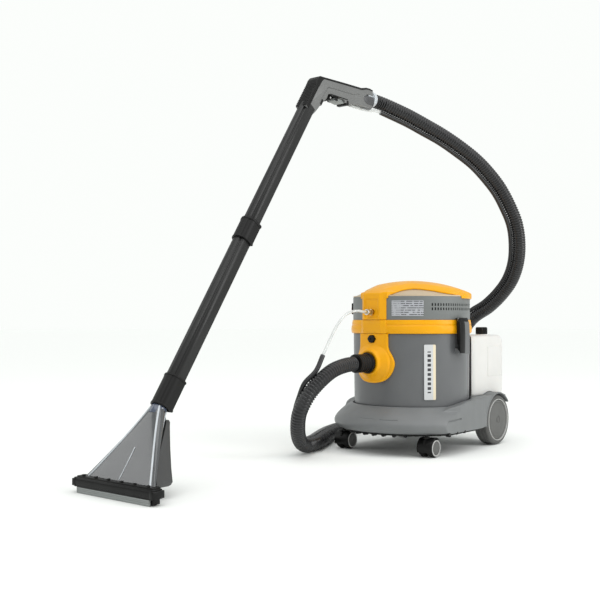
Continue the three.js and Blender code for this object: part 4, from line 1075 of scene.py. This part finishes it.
def make_tank():
    levels = [(148, 7), (149.5, 4.5), (151, 2.5), (154, 1), (160, 0), (250, 0), (314, 0), (320, 1),
              (325, 3.5), (328.5, 7.5), (330.4, 12), (331, 17)]
    skin = loft([rounded_ring(145 - inset, 104 + inset, 320 - inset, z, 25 - inset * 0.5)
                 for z, inset in levels])
    arches = [moved(disc(85, low, low + 80, 0, 128), REAR_AXLE) for low in (121.5, -201.5)]
    steps = [block((-600, 0, 0), (600, 160.5, 150.4)), block((121.5, 0, 0), (600, 600, 150.4)),
             block((-600, 0, 0), (-121.5, 600, 150.4))]
    panels = [block((hand * 145 - 1.0, 205, 205), (hand * 145 + 1.0, 300, 296), 0.9) for hand in (1, -1)]
    rear = block((-105, 319, 200), (105, 321, 300), 0.9)
    neck = moved(disc(15, 320, 347, 0.8, 64), FILLER)
    collar = moved(disc(19, 328, 333, 1.5, 64), FILLER)
    body = joined(cut(skin, disc(179, 0, 600, 0, 256), *arches, *steps), neck, collar, rear, *panels)
    piece("tank_shell", body, BASE, "tank", "tank_white", "solution_tank", sharp=45)

    ribs = 32
    outline = [((18 - 0.9 * (i % 2)) * cos(pi * i / ribs), (18 - 0.9 * (i % 2)) * sin(pi * i / ribs))
               for i in range(2 * ribs)]
    cap = joined(prism(outline, 333.6, 353, 0.8), disc(16.6, 340, 355, 1.6, 64))
    cap = cut(cap, disc(15.5, 320, 349, 0, 64))
    piece("filler_cap", moved(cap, FILLER), BASE, "tank_cap", "black_plastic", "tank_cap")


# ---------------------------------------------------------------- wand

LOWER_TUBE, UPPER_TUBE, LOWER_SLEEVE, MIDDLE_SLEEVE = 19.4, 18.6, 22.0, 22.6   # half widths


def tube_section(half, groove_depth=0.0, corner=3.0):
    """Round at the front and square at the rear, with a fine groove down each front flank."""
    outline = []
    for i in range(61):
        angle = 180 + 3 * i
        near = min(abs(angle - 227), abs(angle - 313))
        radius = half - groove_depth * min(1, max(0, 1.5 - near / 6))
        outline.append((radius * cos(radians(angle)), radius * sin(radians(angle))))
    rear = soften([(half, 0), (half, half, corner), (-half, half, corner), (-half, 0)], 0, 4)
    return outline[:-1] + rear[:-1]


def tube_bar(half, low, high, groove_depth=0.0, edge=0.6):
    return prism(tube_section(half, groove_depth), low, high, edge)


def make_tubes():
    for name, half, low, high, foot_z in (("lower", LOWER_TUBE, 262, 720.2, 299),
            ("upper", UPPER_TUBE, 720.8, 1150.7, 752)):
        foot = block((-8, half - 4, foot_z), (8, half + 4.5, foot_z + 40), 3)
        tube = cut(joined(tube_bar(half, low, high, 2.4), foot), disc(half - 3.4, -10, 2000, 0, 64))
        piece(f"wand_tube_{name}", tube, LEANING, "machine", "wand_grey", f"{name}_tube")
    lower = joined(tube_bar(LOWER_SLEEVE, 221, 299, 1.0, 1.2), tube_bar(LOWER_SLEEVE + 1, 293, 297, 0, 0.8),
                   tube_bar(LOWER_SLEEVE + 0.8, 221, 226, 0, 0.8))
    piece("sleeve_lower", cut(lower, tube_bar(LOWER_TUBE + 0.2, 0, 2000)), LEANING, "machine",
          "black_plastic", "lower_sleeve", look="sleeve_grey")
    middle = joined(tube_bar(MIDDLE_SLEEVE, 689, 752, 1.0, 1.4),
                    tube_bar(MIDDLE_SLEEVE + 1, 744, 750, 0, 0.8),
                    tube_bar(MIDDLE_SLEEVE + 0.8, 689, 693, 0, 0.8))
    middle = cut(middle, tube_bar(LOWER_TUBE + 0.2, 0, 720.5), tube_bar(UPPER_TUBE + 0.2, 720, 2000))
    piece("sleeve_middle", middle, LEANING, "machine", "black_plastic", "middle_sleeve", look="sleeve_grey")
    for name, low, rear in (("lower", 236, LOWER_SLEEVE), ("middle", 704, MIDDLE_SLEEVE)):
        nuts = [moved(disc(r, z, z + h, 0.8, 6), at(0, rear + 4.5, low)) for r, z, h in
                ((5.4, 0, 7), (5.4, 14, 7), (6.0, 30, 8), (5.4, 42, 6))]
        stem = moved(disc(2.6, -4, 52, 0.4, 20), at(0, rear + 4.5, low))
        saddle = block((-5, rear - 1, low + 8), (5, rear + 4, low + 40), 1.2)
        piece(f"line_fittings_{name}", joined(stem, saddle, *nuts), LEANING, "machine", "black_plastic",
              f"{name}_line_coupling")


def station(distance, offset=0.0):
    """A point y, z on the leaning axis, moved square to it towards the rear."""
    return (distance * sin(LEAN) + offset * cos(LEAN), distance * cos(LEAN) - offset * sin(LEAN))


def make_handle():
    outline = [(*station(1133, -16), 1), (*station(1222, -16), 8), (684, 1036, 6), (700, 1037, 10),
               (798, 1041, 30), (880, 1043.5, 8), (905, 1049.5, 4), (920, 1050.5, 3), (937, 1048, 4),
               (939, 1012, 3), (930, 997.5, 6), (906, 996.5, 8), (856, 995, 10), (826, 989, 5),
               (800, 988.5, 4), (796, 996, 3), (722, 999, 4), (714, 984, 4), (*station(1185, 31), 4),
               (*station(1150, 24), 6), (*station(1133, 19), 2)]
    shell = moved(prism(soften(outline, 3, 4, closed=True), -17.5, 17.5, 3.2, 4), SIDEWAYS)
    seam = [(*station(1186, 21), 0), (721, 1016, 3), (840, 1019, 12), (868, 1026, 4)]
    seam = [Vector((0, y, z)) for y, z in soften(seam, 3, 4)]
    lines = [moved(sweep(seam, [circle(1.3, 8)] * len(seam)), at(x, 0, 0)) for x in (-17.6, 17.6)]
    tube_room = [moved(tube_bar(UPPER_TUBE + 0.2, 900, 1151, 0, 0), TILT) for _ in range(2)]
    end_bore = [moved(disc(18.3, 906, 990, 0, 64), HANDLE_BORE) for _ in range(2)]
    lever_room = [block((-12.8, 752, 980), (12.8, 803, 1004)) for _ in range(2)]
    piece("handle_shell", cut(shell, tube_room[0], end_bore[0], lever_room[0], *lines), WAND, "machine",
          "handle_grey", "wand_handle", sharp=45)

    ribs = [block((-18.8, -18.6, 1138 + 6 * i), (18.8, -5, 1141.2 + 6 * i), 1.1) for i in range(14)]
    spine = joined(block((-18.2, -17.8, 1133.4), (18.2, -2.5, 1222), 2.2), *ribs)
    spine = cut(moved(spine, TILT), tube_room[1])
    corner = [(*station(1214, -17.8), 2), (674, 1030, 6), (684, 1039.4, 5), (700, 1039.8, 20),
              (798, 1043.8, 30), (879, 1046.3, 8), (904, 1052.3, 4), (922, 1053, 3), (938, 1050.6, 2),
              (936, 1047, 2), (919, 1048, 3), (905, 1047, 4), (881, 1040.8, 8), (798, 1038, 30),
              (703, 1034.4, 8), (694, 1028, 6), (*station(1214, -2.5), 4)]
    corner = moved(prism(soften(corner, 2, 3, closed=True), -18.2, 18.2, 1.6), SIDEWAYS)
    piece("handle_spine", joined(spine, corner), WAND, "machine", "black_plastic")
    end = [(0, 884), (12, 885, 4), (18, 890, 8), (21, 904, 8), (21.6, 940, 2), (0, 940)]
    end = moved(lathe(soften(end, 2), 96), at(0, 0, 1018), TURN_BACK, Matrix.Diagonal((1, 1.1, 1, 1)))
    piece("handle_collar", cut(end, end_bore[1]), WAND, "machine", "wand_grey", look="handle_dark")

    knob = moved(disc(7, -12, 12, 1.6, 40), THUMB_KNOB)
    strip = cut(block((-17.9, 729, 997), (17.9, 812, 1000.6), 1), lever_room[1])
    lug = block((-5, 732, 989), (5, 745, 999), 1.5)
    valve = cut(block((-17.9, 804, 983), (17.9, 818, 998), 3), moved(disc(4.4, 810, 860, 0, 24),
            at(0, 0, 990), TURN_BACK))
    cheeks = [block((x, 757, 987), (x + 2, 769, 999), 0.6) for x in (-14.4, 12.4)]
    pin = moved(disc(2.5, -14, 14, 0.3, 24), LEVER_PIN)
    piece("valve_body", joined(strip, lug, knob, valve, pin, *cheeks), WAND, "machine", "black_plastic",
          "spray_valve")
    dot = merged(*(moved(disc(2.8, 11.7, 12.6, 0.3, 24), THUMB_KNOB, Matrix.Rotation(a, 4, "X"))
                   for a in (0, pi)))
    piece("valve_knob_dot", dot, WAND, "machine", "lip_grey", look="rim_grey")
    lever = soften([(758.5, 988, 2), (770, 986, 4), (788, 984, 8), (801, 987, 2), (801, 991, 2),
                    (790, 996.4, 3), (768, 996.4, 3), (758.5, 995, 2)], 2, 4, closed=True)
    lever = cut(moved(prism(lever, -12, 12, 1.2, 3), SIDEWAYS), moved(disc(2.8, -20, 20, 0, 24), LEVER_PIN))
    piece("trigger_lever", lever, WAND, "spray_trigger", "lip_grey", "spray_trigger")
    clip = joined(block((-18.4, 24, 1180), (18.4, 33.5, 1200), 2.5),
                  block((-10, 22, 1150), (10, 29, 1158), 2))
    piece("handle_clip", moved(clip, TILT), WAND, "machine", "black_plastic")


# ---------------------------------------------------------------- floor nozzle

FAN_HALF_X, FAN_HALF_Y, FAN_NECK = 111.5, 4.2, 16.8     # half its foot, and the neck's radius


def fan_ring(t, grow=0.0, sides=96):
    """One outline of the fan: a flat slot at the bar, round at the neck."""
    foot, top = Vector((0, 12.4, 35.3)), Vector((0, *station(219)))
    centre = foot.lerp(top, t)
    normal = Vector((0, 1, 0)).lerp(Vector((0, cos(LEAN), -sin(LEAN))), t).normalized()
    swell = 0.15 * sin(pi * t) * (1 - t)
    half_x = FAN_HALF_X + (FAN_NECK - FAN_HALF_X) * t ** 0.94 + grow
    half_y = FAN_HALF_Y + (FAN_NECK - FAN_HALF_Y) * t ** 1.8 + 6 * swell + grow
    power = 0.30 + 0.70 * t ** 2.2
    ring = []
    for i in range(sides):
        angle = 2 * pi * i / sides
        bent = [math.copysign(abs(v) ** power, v) for v in (cos(angle), sin(angle))]
        ring.append(Vector((bent[0] * half_x, 0, 0)) + centre + normal * bent[1] * half_y)
    return ring


def neck_ring(distance, radius, sides=96):
    y, z = station(distance)
    normal = Vector((0, cos(LEAN), -sin(LEAN)))
    return [Vector((radius * cos(2 * pi * i / sides), y, z)) + normal * radius * sin(2 * pi * i / sides)
            for i in range(sides)]


def make_fan():
    levels = [i / 24 for i in range(25)]
    skin = loft([fan_ring(t) for t in levels] + [neck_ring(236, 15.4)])
    inside = [fan_ring(t, -1.7) for t in levels] + [neck_ring(240, 13.6)]
    inside[0] = [p - Vector((0, 0, 2)) for p in inside[0]]
    piece("fan_window", cut(skin, loft(inside)), WAND, "machine", "clear_plastic", "nozzle_fan",
          look="smoked", sharp=60)

    beads = []
    for corner in (12, 84, 36, 60):
        path = [fan_ring(i / 30)[corner] for i in range(31)]
        beads.append(sweep(path, [circle(2.3, 12)] * len(path)))
    piece("fan_beads", merged(*beads), WAND, "machine", "clear_plastic", look="bead", sharp=60)
    rib_path = [fan_ring(t)[72] + Vector((0, -0.3, 0)) for t in [0.02 + i / 40 for i in range(18)]]
    piece("fan_rib", sweep(rib_path, [circle(1.1, 8)] * len(rib_path)), WAND, "machine", "clear_plastic",
          look="bead")
    collar = loft([neck_ring(200, 17.6), neck_ring(202, 18.6), neck_ring(219.5, 18.6), neck_ring(220.6, 18)])
    collar = cut(collar, loft([neck_ring(190, 15), neck_ring(240, 15)]))
    piece("fan_collar", collar, WAND, "machine", "clear_plastic", look="collar", sharp=60)


def make_bar():
    body = block((-127, -10, 13), (127, 18, 34), 1.6, 3)
    rim = block((-122, -6, 30), (122, 18.5, 37), 1.4)
    stepped = [block((hand * 126 - 6, -12, 15), (hand * 126 + 6, 20, 31), 1.8) for hand in (1, -1)]
    clamp = block((-125, -11.4, 18), (125, -9, 29), 0.8)
    bolts = [moved(disc(4.4, 34, 40.5, 1.2, 6), at(x, -1, 0)) for x in (-104, -62, -20, 22, 64, 106)]
    block_end = [block((hand * 118 - 7, -4, 2.5), (hand * 118 + 7, 14, 14), 1.5) for hand in (1, -1)]
    slots = [block((-108, -3, -40), (108, 6, 28)), block((-108, -3, 22), (108, 14.6, 28)),
             block((-108, 10.2, 22), (108, 14.6, 60))]
    window_room = loft([fan_ring(0, 0.4), [p + Vector((0, 0, 20)) for p in fan_ring(0, 0.4)]])
    bar = cut(joined(body, rim, clamp, *stepped, *bolts, *block_end), *slots, window_room)
    piece("bar_body", bar, WAND, "machine", "black_plastic", "nozzle_bar")

    for name, node, y0, y1, grooved, slot in (("lip_front", "front_lip", -10, -5, (-11, -9.2), "lip_grey"),
                                              ("lip_rear", "rear_lip", 8, 13, (12.2, 14), "rubber")):
        section = soften([(y0 + 0.8, 0, 0.8), (y1 - 0.8, 0, 0.8), (y1, 4, 2), (y1, 12.7, 0.3),
                          (y0, 12.7, 0.3), (y0, 4, 2)], 0.8, 3, closed=True)
        lip = moved(prism(section, -117, 117, 0.8), SIDEWAYS)
        grooves = [block((-130, grooved[0], z), (130, grooved[1], z + 0.8)) for z in (6, 9)]
        piece(name, cut(lip, *grooves), WAND, "machine", slot, node)


def hood_ring(z, front, rear, half, corner=9.0, per_corner=6):
    ring = []
    for cx, cy, start in ((half - corner, front, None), (half - corner, rear - corner, 0),
                          (corner - half, rear - corner, 90), (corner - half, front, None)):
        if start is None:
            ring.append(Vector((math.copysign(half, cx), cy, z)))
            continue
        for i in range(per_corner + 1):
            angle = radians(start + 90 * i / per_corner)
            ring.append(Vector((cx + corner * cos(angle), cy + corner * sin(angle), z)))
    return ring


def make_hood():
    levels = [(24, 40, 84, 80), (27, 38, 85.5, 85), (33, 38, 87.5, 88), (60, 52, 100, 70),
              (100, 86, 119, 46), (140, 119, 137, 25), (150, 126, 141.6, 20), (154, 129, 142, 15)]
    skin = loft([hood_ring(*level, corner=min(9, level[3] * 0.4)) for level in levels])
    inner = [(z - (4 if i == 0 else 0), front - 8, rear - 2.4, half - 2.4) for i, (z, front, rear, half)
             in enumerate(levels[:-1])]
    hollow = loft([hood_ring(*level, corner=min(7, level[3] * 0.4)) for level in inner])
    ridges = []
    for x in (-1, 1):
        path = [Vector((x * half * 0.62, rear - 0.2, z)) for z, _, rear, half in levels[1:-1]]
        ridges.append(sweep(smooth_curve(path, 4), [circle(1.6, 8)] * ((len(path) - 1) * 4 + 1)))
    piece("hood_shell", joined(cut(skin, hollow), *ridges), WAND, "machine", "wand_grey", "spray_hood",
          look="hood_grey", sharp=45)
    jet = joined(moved(disc(3.5, 134, 150.5, 0.5, 32), at(0, 126.5, 0)),
                 moved(disc(6, 153.5, 160, 1, 6), at(0, 135, 0)))
    piece("jet_body", jet, WAND, "machine", "black_plastic", "spray_jet")
    y, z = station(234, LOWER_SLEEVE + 4.5)
    path = smooth_curve([(0, 135, 158), (0, 135.5, 166), (0, (135 + y) / 2 - 0.5, (166 + z) / 2),
                         (0, y, z)], 8)
    piece("jet_line", sweep(path, [circle(3, 12)] * len(path)), WAND, "machine", "clear_plastic",
          look="clear_tube", sharp=60)


# ---------------------------------------------------------------- everything together

def finish_inner_nodes():
    """The nodes that keep their own shape, mostly inside the casings, get the detailed materials."""
    inner = {
        "rear_axle": "steel", "head_gasket": "rubber", "vacuum_motor": "steel", "fan_rotor": "steel",
        "solution_pump": "black_plastic", "float_cage": "black_plastic", "float_ball": "lip_grey",
        "tank_outlet_valve": "black_plastic",
    }
    for node, key in inner.items():
        data = bpy.data.objects[node].data
        data.materials.clear()
        data.materials.append(LOOKS[key])


make_camera()
LOOKS = make_materials()
make_cords(make_inlet_cuff(), make_handle_cuff())
make_studio()
for build in (make_base, make_rear_wheels, make_casters, make_drum, make_inlet, make_band, make_latches,
              make_cover, make_head, make_coupler, make_switches, make_tank, make_tubes, make_handle,
              make_fan, make_bar, make_hood, finish_inner_nodes):
    build()
